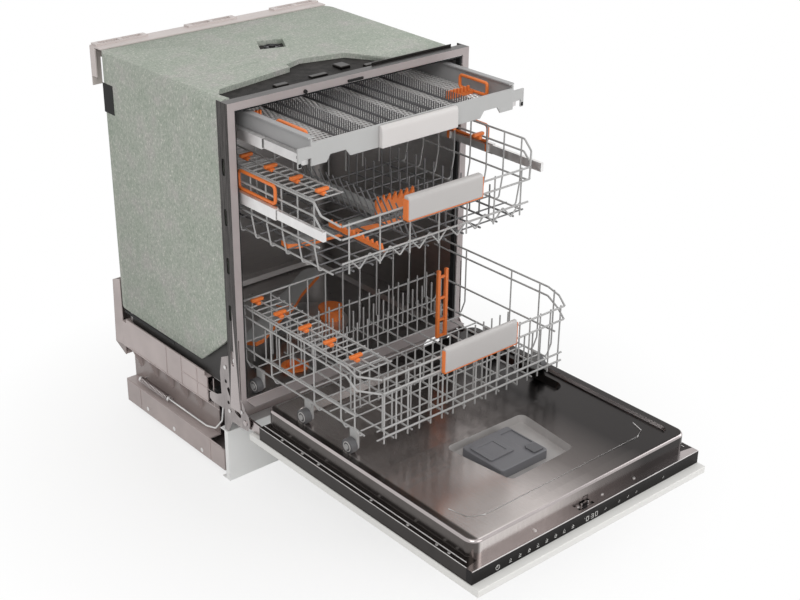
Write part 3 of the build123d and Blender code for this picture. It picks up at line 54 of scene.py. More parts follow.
# Materials
def shader(name):
    mat = bpy.data.materials.new(name)
    mat.use_nodes = True
    tree = mat.node_tree
    bsdf = next(n for n in tree.nodes if n.type == "BSDF_PRINCIPLED")
    return mat, tree, bsdf


def add_noise(tree, scale, detail, rough=0.6, stretch=None):
    coord = tree.nodes.new("ShaderNodeTexCoord")
    noise = tree.nodes.new("ShaderNodeTexNoise")
    noise.inputs["Scale"].default_value = scale
    noise.inputs["Detail"].default_value = detail
    noise.inputs["Roughness"].default_value = rough
    if stretch:
        mapping = tree.nodes.new("ShaderNodeMapping")
        mapping.inputs["Scale"].default_value = stretch
        tree.links.new(coord.outputs["Object"], mapping.inputs["Vector"])
        tree.links.new(mapping.outputs["Vector"], noise.inputs["Vector"])
    else:
        tree.links.new(coord.outputs["Object"], noise.inputs["Vector"])
    return noise


def ramp(tree, source, stops):
    node = tree.nodes.new("ShaderNodeValToRGB")
    elements = node.color_ramp.elements
    while len(elements) < len(stops):
        elements.new(0.5)
    for element, (position, colour) in zip(elements, stops):
        element.position = position
        element.color = (*colour, 1)
    tree.links.new(source, node.inputs["Fac"])
    return node


def shades(colour, vary):
    # Stops from a little darker than the colour to a little lighter
    dark = [c * (1 - vary) for c in colour]
    light = [min(1, c * (1 + vary)) for c in colour]
    return [(0.3, dark), (0.7, light)]


def multiplied(tree, first, second):
    mix = tree.nodes.new("ShaderNodeMix")
    mix.data_type = "RGBA"
    mix.blend_type = "MULTIPLY"
    mix.inputs["Factor"].default_value = 1.0
    tree.links.new(first.outputs["Color"], mix.inputs["A"])
    tree.links.new(second.outputs["Color"], mix.inputs["B"])
    return mix


def vary_roughness(tree, bsdf, source, rough):
    spread = tree.nodes.new("ShaderNodeMapRange")
    spread.inputs["To Min"].default_value = rough * 0.75
    spread.inputs["To Max"].default_value = rough * 1.3
    tree.links.new(source, spread.inputs["Value"])
    tree.links.new(spread.outputs["Result"], bsdf.inputs["Roughness"])


def bump(tree, bsdf, source, strength, distance, radius=0.0):
    # Fine relief, over edges that look rounded where a radius is given
    node = tree.nodes.new("ShaderNodeBump")
    node.inputs["Strength"].default_value = strength
    node.inputs["Distance"].default_value = distance
    tree.links.new(source, node.inputs["Height"])
    if radius:
        edge = tree.nodes.new("ShaderNodeBevel")
        edge.samples = 4
        edge.inputs["Radius"].default_value = radius
        tree.links.new(edge.outputs["Normal"], node.inputs["Normal"])
    tree.links.new(node.outputs["Normal"], bsdf.inputs["Normal"])


def plastic(name, colour, rough, grain, vary=0.06, edge=0.0006, gloss=0.4, size=9.0):
    grain_scale, grain_depth = 900.0, 0.0004
    mat, tree, bsdf = shader(name)
    bsdf.inputs["Specular IOR Level"].default_value = gloss
    cloud = add_noise(tree, size, 3.0)
    tone = ramp(tree, cloud.outputs["Fac"], shades(colour, vary))
    tree.links.new(tone.outputs["Color"], bsdf.inputs["Base Color"])
    bsdf.inputs["Roughness"].default_value = rough
    fine = add_noise(tree, grain_scale, 2.0)
    bump(tree, bsdf, fine.outputs["Fac"], grain, grain_depth, edge)
    return mat


def steel(name, colour, rough, stretch, grain, vary=0.12, scale=24.0):
    grain_depth = 0.0003
    mat, tree, bsdf = shader(name)
    bsdf.inputs["Metallic"].default_value = 1.0
    cloud = add_noise(tree, scale, 5.0, 0.65, stretch)
    tone = ramp(tree, cloud.outputs["Fac"], shades(colour, vary))
    tree.links.new(tone.outputs["Color"], bsdf.inputs["Base Color"])
    vary_roughness(tree, bsdf, cloud.outputs["Fac"], rough)
    bump(tree, bsdf, cloud.outputs["Fac"], grain, grain_depth)
    return mat


def painted_light_steel(name, axis, low, high, stops, rough, stretch):
    # Rolled sheet whose colour changes along one axis, by a ramp that paints shade and reflections into it
    grain_scale, grain_depth = 40.0, 0.0002
    mat, tree, bsdf = shader(name)
    bsdf.inputs["Metallic"].default_value = 1.0
    coord = tree.nodes.new("ShaderNodeTexCoord")
    split = tree.nodes.new("ShaderNodeSeparateXYZ")
    tree.links.new(coord.outputs["Object"], split.inputs["Vector"])
    place = tree.nodes.new("ShaderNodeMapRange")
    place.inputs["From Min"].default_value = low
    place.inputs["From Max"].default_value = high
    tree.links.new(split.outputs[axis], place.inputs["Value"])
    tone = ramp(tree, place.outputs["Result"], stops)
    grain = add_noise(tree, grain_scale, 4.0, 0.6, stretch)
    streak = ramp(tree, grain.outputs["Fac"], [(0.3, (0.84, 0.84, 0.84)), (0.7, (1, 1, 1))])
    mix = multiplied(tree, tone, streak)
    tree.links.new(mix.outputs["Result"], bsdf.inputs["Base Color"])
    vary_roughness(tree, bsdf, grain.outputs["Fac"], rough)
    bump(tree, bsdf, grain.outputs["Fac"], 0.03, grain_depth)
    return mat


def felt_material():
    # Needled felt: cream and grey fibres over a patchy grey-green ground
    mat, tree, bsdf = shader("felt")
    cloud = add_noise(tree, 14.0, 5.0, 0.7)
    ground = ramp(tree, cloud.outputs["Fac"], [
        (0.30, (0.375, 0.425, 0.365)), (0.52, (0.43, 0.465, 0.415)), (0.72, (0.485, 0.475, 0.46))])
    fibre = add_noise(tree, 270.0, 6.0, 0.8, (1, 1, 0.62))
    light = ramp(tree, fibre.outputs["Fac"], [(0.555, (0, 0, 0)), (0.66, (1, 1, 1))])
    dark = ramp(tree, fibre.outputs["Fac"], [(0.36, (0.66, 0.69, 0.67)), (0.49, (1, 1, 1))])
    under = multiplied(tree, ground, dark)
    over = tree.nodes.new("ShaderNodeMix")
    over.data_type = "RGBA"
    over.inputs["B"].default_value = (0.76, 0.75, 0.70, 1)
    tree.links.new(light.outputs["Color"], over.inputs["Factor"])
    tree.links.new(under.outputs["Result"], over.inputs["A"])
    tree.links.new(over.outputs["Result"], bsdf.inputs["Base Color"])
    bsdf.inputs["Roughness"].default_value = 0.95
    bsdf.inputs["Specular IOR Level"].default_value = 0.15
    bump(tree, bsdf, fibre.outputs["Fac"], 0.35, 0.001)
    return mat


ALL_WAYS = (1, 1, 1)
# Painted reflection on the door pan's steel, across x: dark at the left edge, bright over the left and middle,
# dark towards the right
LINER_PAINTED_REFLECTION_STOPS = [
    (0.0, (0.10, 0.09, 0.086)), (0.072, (0.12, 0.108, 0.102)), (0.082, (0.68, 0.63, 0.61)),
    (0.42, (0.58, 0.53, 0.51)), (0.72, (0.17, 0.15, 0.143)), (1.0, (0.035, 0.031, 0.030)),
]
# Painted shade on the tub's steel, along z: darker low down, lighter higher up
TUB_PAINTED_SHADE_STOPS = [
    (0.0, (0.38, 0.365, 0.36)), (0.40, (0.50, 0.485, 0.48)), (0.53, (0.58, 0.565, 0.56)),
    (0.57, (0.76, 0.745, 0.74)), (1.0, (0.84, 0.825, 0.82)),
]
BASE = dict(edge=0.0014, gloss=0.5, size=7.0)
M = {
    "felt": felt_material(),
    # Sheet metal
    "liner": painted_light_steel("liner_steel_painted_reflection", "X", -0.30, 0.16, LINER_PAINTED_REFLECTION_STOPS, 0.20, (30, 1, 1)),
    "tub": painted_light_steel("tub_steel_painted_shade", "Z", 0.20, 0.80, TUB_PAINTED_SHADE_STOPS, 0.30, (1, 1, 30)),
    # The frame's lips: near-black steel as painted dark reflection, its streaks painted highlights
    "lip": steel("lip_steel_painted_reflection", (0.060, 0.055, 0.053), 0.26, (14, 14, 0.5), 0.10, 0.8, 30.0),
    "lip_top": steel("lip_top_steel_painted_reflection", (0.085, 0.078, 0.075), 0.30, (0.6, 9, 9), 0.06, 0.7, 26.0),
    # Bright plate steel, also used as a painted highlight on the door pan's rim
    "plate": steel("plate_steel_and_painted_highlight", (0.44, 0.40, 0.395), 0.20, ALL_WAYS, 0.02, 0.10, 6.0),
    "hinge": steel("hinge_steel", (0.34, 0.31, 0.305), 0.15, (1, 1, 0.4), 0.03, 0.38, 16.0),
    "zinc": steel("zinc_steel", (0.66, 0.65, 0.645), 0.42, ALL_WAYS, 0.03),
    "rail_steel": steel("rail_steel", (0.78, 0.77, 0.765), 0.50, (1, 4, 4), 0.02, 0.06, 10.0),
    "dark_steel": steel("dark_steel", (0.045, 0.041, 0.039), 0.32, ALL_WAYS, 0.08),
    # Painted, lacquered and soft coverings
    "recess": plastic("recess_steel", (0.36, 0.345, 0.34), 0.30, 0.02, vary=0.2, gloss=0.8),
    "tub_outside": plastic("tub_outside", (0.035, 0.033, 0.032), 0.5, 0.05, vary=0.3, gloss=0.3),
    "frame": plastic("frame_satin", (0.42, 0.375, 0.375), 0.42, 0.02),
    "white": plastic("panel_white", (0.78, 0.78, 0.765), 0.40, 0.02, vary=0.01, gloss=0.2),
    "plinth": plastic("plinth_white", (0.88, 0.89, 0.89), 0.45, 0.02, vary=0.02, gloss=0.2),
    "bitumen": plastic("bitumen", (0.022, 0.020, 0.019), 0.7, 0.5, vary=0.6, gloss=0.2, size=60.0),
    "black": plastic("black_rubber", (0.014, 0.014, 0.014), 0.6, 0.1, gloss=0.2),
    "seal": plastic("seal_rubber", (0.02, 0.02, 0.021), 0.55, 0.1, gloss=0.2),
    "iron": plastic("ballast_iron", (0.10, 0.10, 0.10), 0.7, 0.4, gloss=0.2),
    # Moulded plastic
    "base": plastic("base_plastic", (0.47, 0.405, 0.395), 0.24, 0.04, vary=0.13, **BASE),
    # Darker copies of the base plastic, as painted shade
    "base_painted_shade": plastic("base_shade", (0.27, 0.225, 0.215), 0.26, 0.04, vary=0.13, **BASE),
    "base_low_painted_shade": plastic("base_low_painted_shade", (0.39, 0.33, 0.32), 0.25, 0.04, vary=0.15, **BASE),
    "rail": plastic("rail_plastic", (0.62, 0.565, 0.55), 0.40, 0.08, edge=0.001, gloss=0.3),
    "panel": plastic("panel_black", (0.010, 0.009, 0.009), 0.25, 0.0, vary=0.1, gloss=0.12),
    "mark": plastic("panel_marks", (0.62, 0.62, 0.61), 0.5, 0.0, vary=0.02, edge=0, gloss=0.2),
    "handle": plastic("handle_grey", (0.50, 0.485, 0.48), 0.30, 0.02, vary=0.02, edge=0.0015),
    "tray_grip": plastic("tray_grip", (0.66, 0.64, 0.635), 0.35, 0.02, vary=0.015, edge=0.0015, gloss=0.3),
    "tray": plastic("tray_grey", (0.48, 0.485, 0.485), 0.38, 0.04, vary=0.03, edge=0.001, gloss=0.3),
    "tray_side": plastic("tray_side", (0.34, 0.34, 0.345), 0.35, 0.03, edge=0.002, gloss=0.5),
    "lattice": plastic("lattice_grey", (0.54, 0.535, 0.535), 0.4, 0.03, vary=0.1, edge=0, gloss=0.3),
    "tine": plastic("tine_dark", (0.125, 0.125, 0.13), 0.4, 0.03, edge=0, gloss=0.3),
    "wire": plastic("wire_grey", (0.40, 0.40, 0.40), 0.30, 0.02, vary=0.12, edge=0, gloss=0.5),
    "wire_dark": plastic("wire_dark", (0.15, 0.15, 0.155), 0.32, 0.02, edge=0, gloss=0.5),
    "orange": plastic("orange", (0.80, 0.205, 0.045), 0.35, 0.03, vary=0.05, edge=0.0008),
    "arm": plastic("arm_grey", (0.40, 0.405, 0.405), 0.38, 0.03, edge=0.001),
    "dispenser": plastic("dispenser_grey", (0.15, 0.15, 0.162), 0.34, 0.05, edge=0.001),
    "dispenser_dark": plastic("dispenser_dark", (0.10, 0.10, 0.108), 0.36, 0.05, edge=0.001),
    "wheel": plastic("wheel_grey", (0.11, 0.11, 0.115), 0.42, 0.05, edge=0.001),
}
# Each material's CAD pieces
DRESSED = {
    "frame": "front_frame", "tub": "tub_wrapper tub_rear_wall tub_floor", "seal": "tub_seal",
    "bitumen": "bitumen_sheet", "felt": "insulation_felt door_felt", "dark_steel": "fixing_strip door_tray",
    "rail": "rear_top_rail water_softener wash_pump rear_ports", "base": "base_tray",
    "black": "levelling_feet drain_pump", "iron": "ballast_block", "plinth": "plinth",
    "hinge": "hinge_plates", "plate": "door_springs hinge_arms", "zinc": "spring_linkage filter_plate",
    "dispenser": "sump dispenser_body dispenser_lid", "dispenser_dark": "rinse_aid_flap",
    "arm": "water_duct lower_spray_arm upper_spray_feed upper_spray_arm", "liner": "door_liner",
    "panel": "control_panel", "white": "furniture_panel",
    "rail_steel": "fixed_rails upper_middle_rails tray_middle_rails",
    "orange": "filter_cylinder salt_cap bottle_post upper_fittings tray_holders",
    "wire": "lower_basket_walls lower_basket_floor lower_tines_front lower_tines_middle"
            " lower_cup_shelf upper_basket_walls upper_cup_shelf",
    "wire_dark": "upper_basket_floor upper_tines", "handle": "lower_handle upper_handle",
    "wheel": "basket_wheels_1 basket_wheels_2 basket_wheels_3",
    "tray": "tray_frame", "lattice": "tray_floor", "tray_grip": "tray_handle",
}
LOOK = {name: look for look, names in DRESSED.items() for name in names.split()}
for name, obj in nodes.items():
    obj.data.materials.clear()
    obj.data.materials.append(M[LOOK[name]])
    obj.data.shade_smooth()
    obj.data.set_sharp_from_angle(angle=CAD_SHARP)


def paint(node, look, test):
    # Gives some faces of a node another finish
    mesh = nodes[node].data
    mesh.materials.append(M[look])
    index = len(mesh.materials) - 1
    for p in mesh.polygons:
        if test(p.center - Vector((0, FRONT, 0)), p.normal):
            p.material_index = index


# The frame's lips start behind its face and lie outside these planes
FACE_END = 0.0016
LIP_SIDE, LIP_TOP, LIP_LOW = 0.296, 0.822, 0.22
HINGE_TOP = 0.335
BASE_SIDE = 0.291
# The lips' near-black steel is painted dark reflection, with streaks of painted highlight
paint("front_frame", "lip", lambda c, n: c.y > FACE_END and (abs(c.x) > LIP_SIDE or c.z < LIP_LOW))
paint("front_frame", "lip_top", lambda c, n: c.y > FACE_END and c.z > LIP_TOP)
paint("front_frame", "plate", lambda c, n: c.y > FACE_END and abs(c.x) > LIP_SIDE and c.z < HINGE_TOP)
paint("tub_wrapper", "tub_outside", lambda c, n: n.x * c.x > 0.15 or n.z > 0.5 and c.z > 0.80)
paint("tub_rear_wall", "tub_outside", lambda c, n: n.y > 0.5)
# Painted shade: darker copies of the base plastic on its inner side faces and low on its outer sides
paint("base_tray", "base_painted_shade", lambda c, n: abs(c.x) < BASE_SIDE and c.z < 0.15 and abs(n.x) > 0.5)
paint("base_tray", "base_low_painted_shade", lambda c, n: abs(c.x) > BASE_SIDE and c.z < 0.075 and abs(n.x) > 0.5)
# The door pan: dispenser well, a painted highlight on its rim's sloping band, and the flange in front of it
paint("door_liner", "recess",
      lambda c, n: -0.115 < c.x < 0.105 and -0.555 < c.y < -0.375 and c.z < 0.2127)
# Painted highlight: bright steel on the rim's sloping faces
paint("door_liner", "plate", lambda c, n: c.z > 0.2132 and 0.2 < n.z < 0.93)
paint("door_liner", "plate", lambda c, n: c.y < -0.6475 and n.z > 0.9 and c.z < 0.19)
paint("control_panel", "plate", lambda c, n: n.z > 0.3 and c.y < -0.650)
for arm in ("lower_spray_arm", "upper_spray_arm"):
    paint(arm, "orange", lambda c, n: abs(n.z) < 0.6)
paint("rear_ports", "black", lambda c, n: 0.06 < c.x < 0.15)
# The tray's side walls and the runners under them
paint("tray_frame", "tray_side",
      lambda c, n: 0.2385 < abs(c.x) < 0.2525 and c.z > 0.7595 and c.y > -0.1765)
paint("tray_frame", "zinc", lambda c, n: abs(c.x) > 0.2495 and c.z < 0.7675 and c.y > -0.1745)
# The roller that turns the door's cable
paint("spring_linkage", "black",
      lambda c, n: c.y < 0.12 and c.z > 0.158 and abs(c.x) > 0.2755
      and (c.y - 0.101) ** 2 + (c.z - 0.178) ** 2 < 0.018 ** 2)


# Building blocks for the modelled details
def put(obj, body, look):
    # Dresses the piece, moves it into the frame's places and has it ride the body
    if not obj.data.materials:
        obj.data.materials.append(M[look])
    obj.data.transform(Matrix.Translation((0, FRONT, 0)))
    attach(obj, body)
    return obj


def mesh_object(name, bm, smooth=True):
    mesh = bpy.data.meshes.new(name)
    bm.to_mesh(mesh)
    bm.free()
    obj = bpy.data.objects.new(name, mesh)
    bpy.context.collection.objects.link(obj)
    if smooth:
        mesh.shade_smooth()
        mesh.set_sharp_from_angle(angle=SCENE_SHARP)
    return obj


def face_outwards(bm):
    bmesh.ops.recalc_face_normals(bm, faces=bm.faces)


def boxes(name, spans, body, look):
    # Small blocks with bevelled edges, each from its lowest to its highest corner
    bm = bmesh.new()
    for lo, hi in spans:
        size = Vector(hi) - Vector(lo)
        place = Matrix.Translation((Vector(hi) + Vector(lo)) / 2) @ Matrix.Diagonal((*size, 1))
        made = bmesh.ops.create_cube(bm, size=1, matrix=place)
        edges = list({e for v in made["verts"] for e in v.link_edges})
        bmesh.ops.bevel(bm, geom=edges, offset=min(size) * 0.2, offset_type="OFFSET", segments=1,
                        affect="EDGES")
    return put(mesh_object(name, bm), body, look)


def turned(spot, axis):
    # Places a round piece with its own Z along the axis
    turn = {
        "x": Matrix.Rotation(math.pi / 2, 4, "Y"),
        "y": Matrix.Rotation(math.pi / 2, 4, "X"),
        "z": Matrix.Identity(4),
    }[axis]
    return Matrix.Translation(Vector(spot)) @ turn


def studs(name, spots, radius, depth, axis, body, look, sides=20):
    # Short round heads, all along one axis
    bm = bmesh.new()
    for spot in spots:
        bmesh.ops.create_cone(bm, cap_ends=True, segments=sides, radius1=radius,
                              radius2=radius * 0.85, depth=depth, matrix=turned(spot, axis))
    return put(mesh_object(name, bm), body, look)


def rings(name, spots, radius, thick, axis, body, look):
    steps, sides = 32, 8
    bm = bmesh.new()
    for spot in spots:
        place = turned(spot, axis)
        loops = []
        for i in range(steps):
            a = 2 * math.pi * i / steps
            loop = []
            for j in range(sides):
                b = 2 * math.pi * j / sides
                r = radius + thick * math.cos(b)
                point = Vector((r * math.cos(a), r * math.sin(a), thick * math.sin(b)))
                loop.append(bm.verts.new(place @ point))
            loops.append(loop)
        for i in range(steps):
            a, b = loops[i], loops[(i + 1) % steps]
            for j in range(sides):
                bm.faces.new((a[j], b[j], b[(j + 1) % sides], a[(j + 1) % sides]))
    face_outwards(bm)
    return put(mesh_object(name, bm), body, look)


def tube(bm, points, radius, closed=False, sides=8):
    # A round rod through the points, mitred at each
    points = [Vector(p) for p in points]
    count = len(points)
    loops = []
    for i, p in enumerate(points):
        ahead = Vector()
        if i or closed:
            ahead += (p - points[i - 1]).normalized()
        if i < count - 1 or closed:
            ahead += (points[(i + 1) % count] - p).normalized()
        ahead.normalize()
        away = Vector((0, 0, 1)) if abs(ahead.z) < 0.9 else Vector((1, 0, 0))
        side = ahead.cross(away).normalized()
        up = side.cross(ahead)
        loop = []
        for k in range(sides):
            a = 2 * math.pi * k / sides
            loop.append(bm.verts.new(p + radius * (math.cos(a) * side + math.sin(a) * up)))
        loops.append(loop)
    pairs = list(zip(loops, loops[1:])) + ([(loops[-1], loops[0])] if closed else [])
    for a, b in pairs:
        shift = min(range(sides), key=lambda j: (a[0].co - b[j].co).length)
        for k in range(sides):
            bm.faces.new((a[k], b[(k + shift) % sides], b[(k + shift + 1) % sides], a[(k + 1) % sides]))
    if not closed:
        bm.faces.new(loops[0])
        bm.faces.new(loops[-1])


def slab(bm, lo, hi, look=0):
    # A plain block with sharp edges, for what repeats many times
    corner = [bm.verts.new((x, y, z))
              for x in (lo[0], hi[0]) for y in (lo[1], hi[1]) for z in (lo[2], hi[2])]
    for quad in ((0, 1, 3, 2), (4, 6, 7, 5), (0, 4, 5, 1), (2, 3, 7, 6), (0, 2, 6, 4), (1, 5, 7, 3)):
        bm.faces.new([corner[k] for k in quad]).material_index = look


def rounded(corners, radius, steps=4):
    # Corner points of a flat closed loop, each turned through a small arc
    out = []
    count = len(corners)
    for i, corner in enumerate(corners):
        c = Vector(corner)
        a = (Vector(corners[i - 1]) - c).normalized() * radius
        b = (Vector(corners[(i + 1) % count]) - c).normalized() * radius
        for k in range(steps + 1):
            t = k / steps
            out.append(c + a * (1 - t) ** 2 + b * t ** 2)
    return out


def upright_loop(x, front, rear, low, high, radius):
    # A closed loop that stands in the plane of one x, with rounded corners
    return rounded([(x, front, low), (x, rear, low), (x, rear, high), (x, front, high)], radius)


def kept_faces(node, keep):
    # A copy of the node's faces that pass the test
    bm = bmesh.new()
    bm.from_mesh(nodes[node].data)
    bmesh.ops.translate(bm, verts=bm.verts, vec=(0, -FRONT, 0))
    dropped = [f for f in bm.faces if not keep(f.calc_center_median())]
    bmesh.ops.delete(bm, geom=dropped, context="FACES")
    return bm


# Felt jacket with softly turned top and rear edges
JACKET_SIDE, JACKET_TOP, JACKET_REAR = 0.2945, 0.8215, 0.4848
JACKET_TURN = 0.022


def turned_corner(c):
    # Whether a corner of the jacket lies on two of its outer faces at once
    side, top, rear = abs(c.x) > JACKET_SIDE, c.z > JACKET_TOP, c.y > JACKET_REAR
    return top and side or rear and (side or top)


jacket = kept_faces("insulation_felt", lambda c: True)
bmesh.ops.remove_doubles(jacket, verts=jacket.verts, dist=1e-6)
bmesh.ops.dissolve_limit(jacket, angle_limit=math.radians(1), verts=jacket.verts, edges=jacket.edges)
long_edges = [e for e in jacket.edges
              if e.calc_length() > 0.02 and all(turned_corner(v.co) for v in e.verts)]
bmesh.ops.bevel(jacket, geom=long_edges, offset=JACKET_TURN, offset_type="OFFSET", segments=6,
                profile=0.5, affect="EDGES")
bmesh.ops.triangulate(jacket, faces=[f for f in jacket.faces if len(f.verts) > 4])
jacket = put(mesh_object("felt_jacket", jacket), "cabinet", "felt")
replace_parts(jacket, "insulation_felt")


# Grips: a rounded grey cover, over an orange tray on the baskets
def grip(name, node, body, look, half, front, rear, low, high, trim):
    brow, nose, pinch_in = 0.011, 0.006, 0.0012
    edge = 0.0024 if trim else 0.0
    lowest = low + edge
    inner = half - edge
    # Side view, from the rear's foot round the front to the rear's top
    profile = [(rear - 0.001, lowest), (front + 0.0015, lowest), (front, lowest + 0.0015),
               (front, high - brow)]
    for k in range(1, 7):
        a = math.radians(15 * k)
        profile.append((front + nose * (1 - math.cos(a)), high - brow + brow * math.sin(a)))
    profile.append((rear - 0.001, high))
    bm = bmesh.new()
    rows = []
    for x, pinch in ((-inner, pinch_in), (-inner + 0.0015, 0), (inner - 0.0015, 0), (inner, pinch_in)):
        row = []
        for y, z in profile:
            y += pinch if y < rear - 0.003 else 0
            row.append(bm.verts.new((x, y, min(max(z, lowest + pinch), high - pinch))))
        rows.append(row)
    for a, b in zip(rows, rows[1:]):
        for k in range(len(profile) - 1):
            bm.faces.new((a[k], b[k], b[k + 1], a[k + 1]))
        bm.faces.new((a[-1], b[-1], b[0], a[0]))
    bm.faces.new(rows[0])
    bm.faces.new(list(reversed(rows[-1])))
    face_outwards(bm)
    cover = put(mesh_object(name, bm), body, look)
    if not trim:
        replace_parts(cover, node)
        return
    wall, back = 0.0026, front + 0.0012
    tray = boxes(name + "_tray", [
        ((-half, back, low), (half, rear, low + wall)),
        ((-half, back, low), (-half + wall, rear, high - 0.006)),
        ((half - wall, back, low), (half, rear, high - 0.006)),
    ], body, "orange")
    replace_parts(tray, node)


grip("lower_grip", "lower_handle", "lower_basket", "handle", 0.095, -0.3715, -0.3625, 0.358, 0.411, True)
grip("upper_grip", "upper_handle", "upper_basket", "handle", 0.095, -0.264, -0.2495, 0.626, 0.6745, True)
grip("tray_grip", "tray_handle", "cutlery_tray", "tray_grip", 0.094, -0.190, -0.180, 0.746, 0.788, False)

# Adjuster loops of the upper basket, as rounded rods in place of flat frames
RUNNER_SIDE = 0.2655
fittings = kept_faces("upper_fittings", lambda c: not (abs(c.x) > 0.2632 and c.z > 0.6496))
for f in fittings.faces:
    f.material_index = 1 if abs(f.calc_center_median().x) > RUNNER_SIDE else 0
for s in BOTH:
    loop = upright_loop(s * 0.2668, -0.0955, 0.0185, 0.6535, 0.6885, 0.009)
    tube(fittings, loop, 0.0033, closed=True)
face_outwards(fittings)
fittings = mesh_object("upper_combs", fittings)
for look in ("orange", "rail_steel"):
    fittings.data.materials.append(M[look])
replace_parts(put(fittings, "upper_basket", "orange"), "upper_fittings")

# Cutlery tray floor: staggered slots between thin bars, and rows of pins where the CAD has its teeth
PIN_ROWS = (-0.148, -0.115, -0.049, -0.016, 0.050, 0.083, 0.149)
PIN_FOOT, PIN_TOP, PIN_STEP, PIN_COUNT = 0.7680, 0.7860, 0.0065, 58
BAR_LOW, BAR_TOP, BAR = 0.7631, 0.7644, 0.0011
ACROSS, ALONG = 0.0088, 0.0104
FLOOR_HALF, FLOOR_FRONT, FLOOR_LONG = 0.2446, -0.1766, 0.4014
floor = bmesh.new()
for x in PIN_ROWS:
    slab(floor, (x - 0.0012, -0.166, 0.7640), (x + 0.0012, 0.216, PIN_FOOT), 1)
    for n in range(PIN_COUNT):
        y = -0.1650 + PIN_STEP * n
        slab(floor, (x - 0.0008, y, PIN_FOOT), (x + 0.0008, y + 0.0018, PIN_TOP), 1)
rows = int(FLOOR_LONG / ALONG)
columns = int((2 * FLOOR_HALF + 0.0004) / ACROSS)
for r in range(rows + 1):
    y = FLOOR_FRONT + (FLOOR_LONG - rows * ALONG) / 2 + r * ALONG
    slab(floor, (-FLOOR_HALF, y - BAR, BAR_LOW), (FLOOR_HALF, y + BAR, BAR_TOP))
    if r == rows:
        break
    for c in range(columns + 1):
        x = -FLOOR_HALF + BAR + (c + 0.5 * (r % 2)) * ACROSS
        if x < 0.2440:
            slab(floor, (x - BAR, y + BAR, BAR_LOW), (x + BAR, y + ALONG - BAR, BAR_TOP))
floor = mesh_object("tray_lattice", floor, smooth=False)
for look in ("lattice", "tine"):
    floor.data.materials.append(M[look])
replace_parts(put(floor, "cutlery_tray", "lattice"), "tray_floor")

# Orange trim of the cutlery tray, standing on its floor
TRIM_LOW, COMB_BACK = 0.7647, 0.7715
trim = bmesh.new()
# Loop and comb at the right
tube(trim, upright_loop(0.225, -0.1305, -0.0535, 0.768, 0.7925, 0.007), 0.0034, closed=True)
slab(trim, (0.152, -0.0965, TRIM_LOW), (0.2215, -0.0905, COMB_BACK))
for n in range(7):
    x = 0.1525 + 0.0090 * n
    slab(trim, (x, -0.0965, 0.771), (x + 0.0045, -0.0915, 0.7825 - 0.0006 * (n % 2)))
# Comb at the rear
slab(trim, (-0.012, 0.1765, TRIM_LOW), (0.046, 0.1815, 0.786))
for n in range(7):
    x = -0.012 + 0.0085 * n
    slab(trim, (x, 0.1765, 0.786), (x + 0.0045, 0.1815, 0.7955))
# Bar and comb at the left
tube(trim, upright_loop(-0.2290, -0.1410, -0.0570, 0.769, 0.7955, 0.007), 0.0041, closed=True)
slab(trim, (-0.241, 0.020, TRIM_LOW), (-0.208, 0.027, COMB_BACK))
for n in range(5):
    x = -0.2410 + 0.0070 * n
    slab(trim, (x, 0.020, 0.771), (x + 0.0040, 0.0255, 0.7915))
face_outwards(trim)
trim = put(mesh_object("tray_trim", trim), "cutlery_tray", "orange")
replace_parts(trim, "tray_holders")


# Orange clips on the cup shelves: a bar across, on a small foot
def clips(name, x, ys, z, body):
    spans = []
    for y in ys:
        spans.append(((x - 0.014, y - 0.0042, z + 0.004), (x + 0.014, y + 0.0042, z + 0.0105)))
        spans.append(((x - 0.0045, y - 0.0085, z - 0.0025), (x + 0.0045, y + 0.0085, z + 0.0045)))
    boxes(name, spans, body, "orange")


clips("lower_clips", -0.232, [-0.281, -0.205, -0.130, -0.051, 0.024], 0.400, "lower_shelf")
clips("upper_clips", -0.224, [-0.178, -0.102, -0.024, 0.054, 0.125], 0.690, "upper_shelf")
clips("right_clips", 0.224, [-0.112, -0.036, 0.040], 0.676, "upper_basket")

# Rings on the wheels' outer faces
WHEEL_FACE, WHEEL_Z = 0.2582, 0.228
for n, (body, y) in enumerate((("wheels_front", -0.286), ("wheels_middle", -0.148), ("wheels_rear", 0.010))):
    rings("wheel_rings_%d" % n, [(s * WHEEL_FACE, y, WHEEL_Z) for s in BOTH], 0.0095, 0.0011, "x", body,
          "handle")

# Control panel marks: a power ring, programme symbols, a clock display and option lamps
PANEL_FACE, PANEL_MID = -0.6662, 0.1622
POWER_X = -0.2379
PROGRAMMES = (-0.207, -0.1844, -0.1619, -0.1401, -0.1183, -0.0959, -0.0737, -0.0515)
OPTIONS = (0.0347, 0.0717, 0.0963, 0.1194, 0.1959)
CLOCK = ((-0.0135, "0"), (-0.0005, "3"), (0.0105, "0"))
SEGMENTS = {"0": "abcdef", "3": "abcdg"}
STROKE, DIGIT_WIDE, DIGIT_HIGH = 0.001, 0.0028, 0.0042
rings("power_ring", [(POWER_X, PANEL_FACE, PANEL_MID)], 0.0045, 0.0005, "y", "cabinet", "mark")


def mark(x, up, wide, high):
    # A small raised bar, so far above the middle of the panel's face
    z = PANEL_MID + up
    return ((x - wide / 2, PANEL_FACE - 0.0002, z - high / 2), (x + wide / 2, PANEL_FACE + 0.0004, z + high / 2))


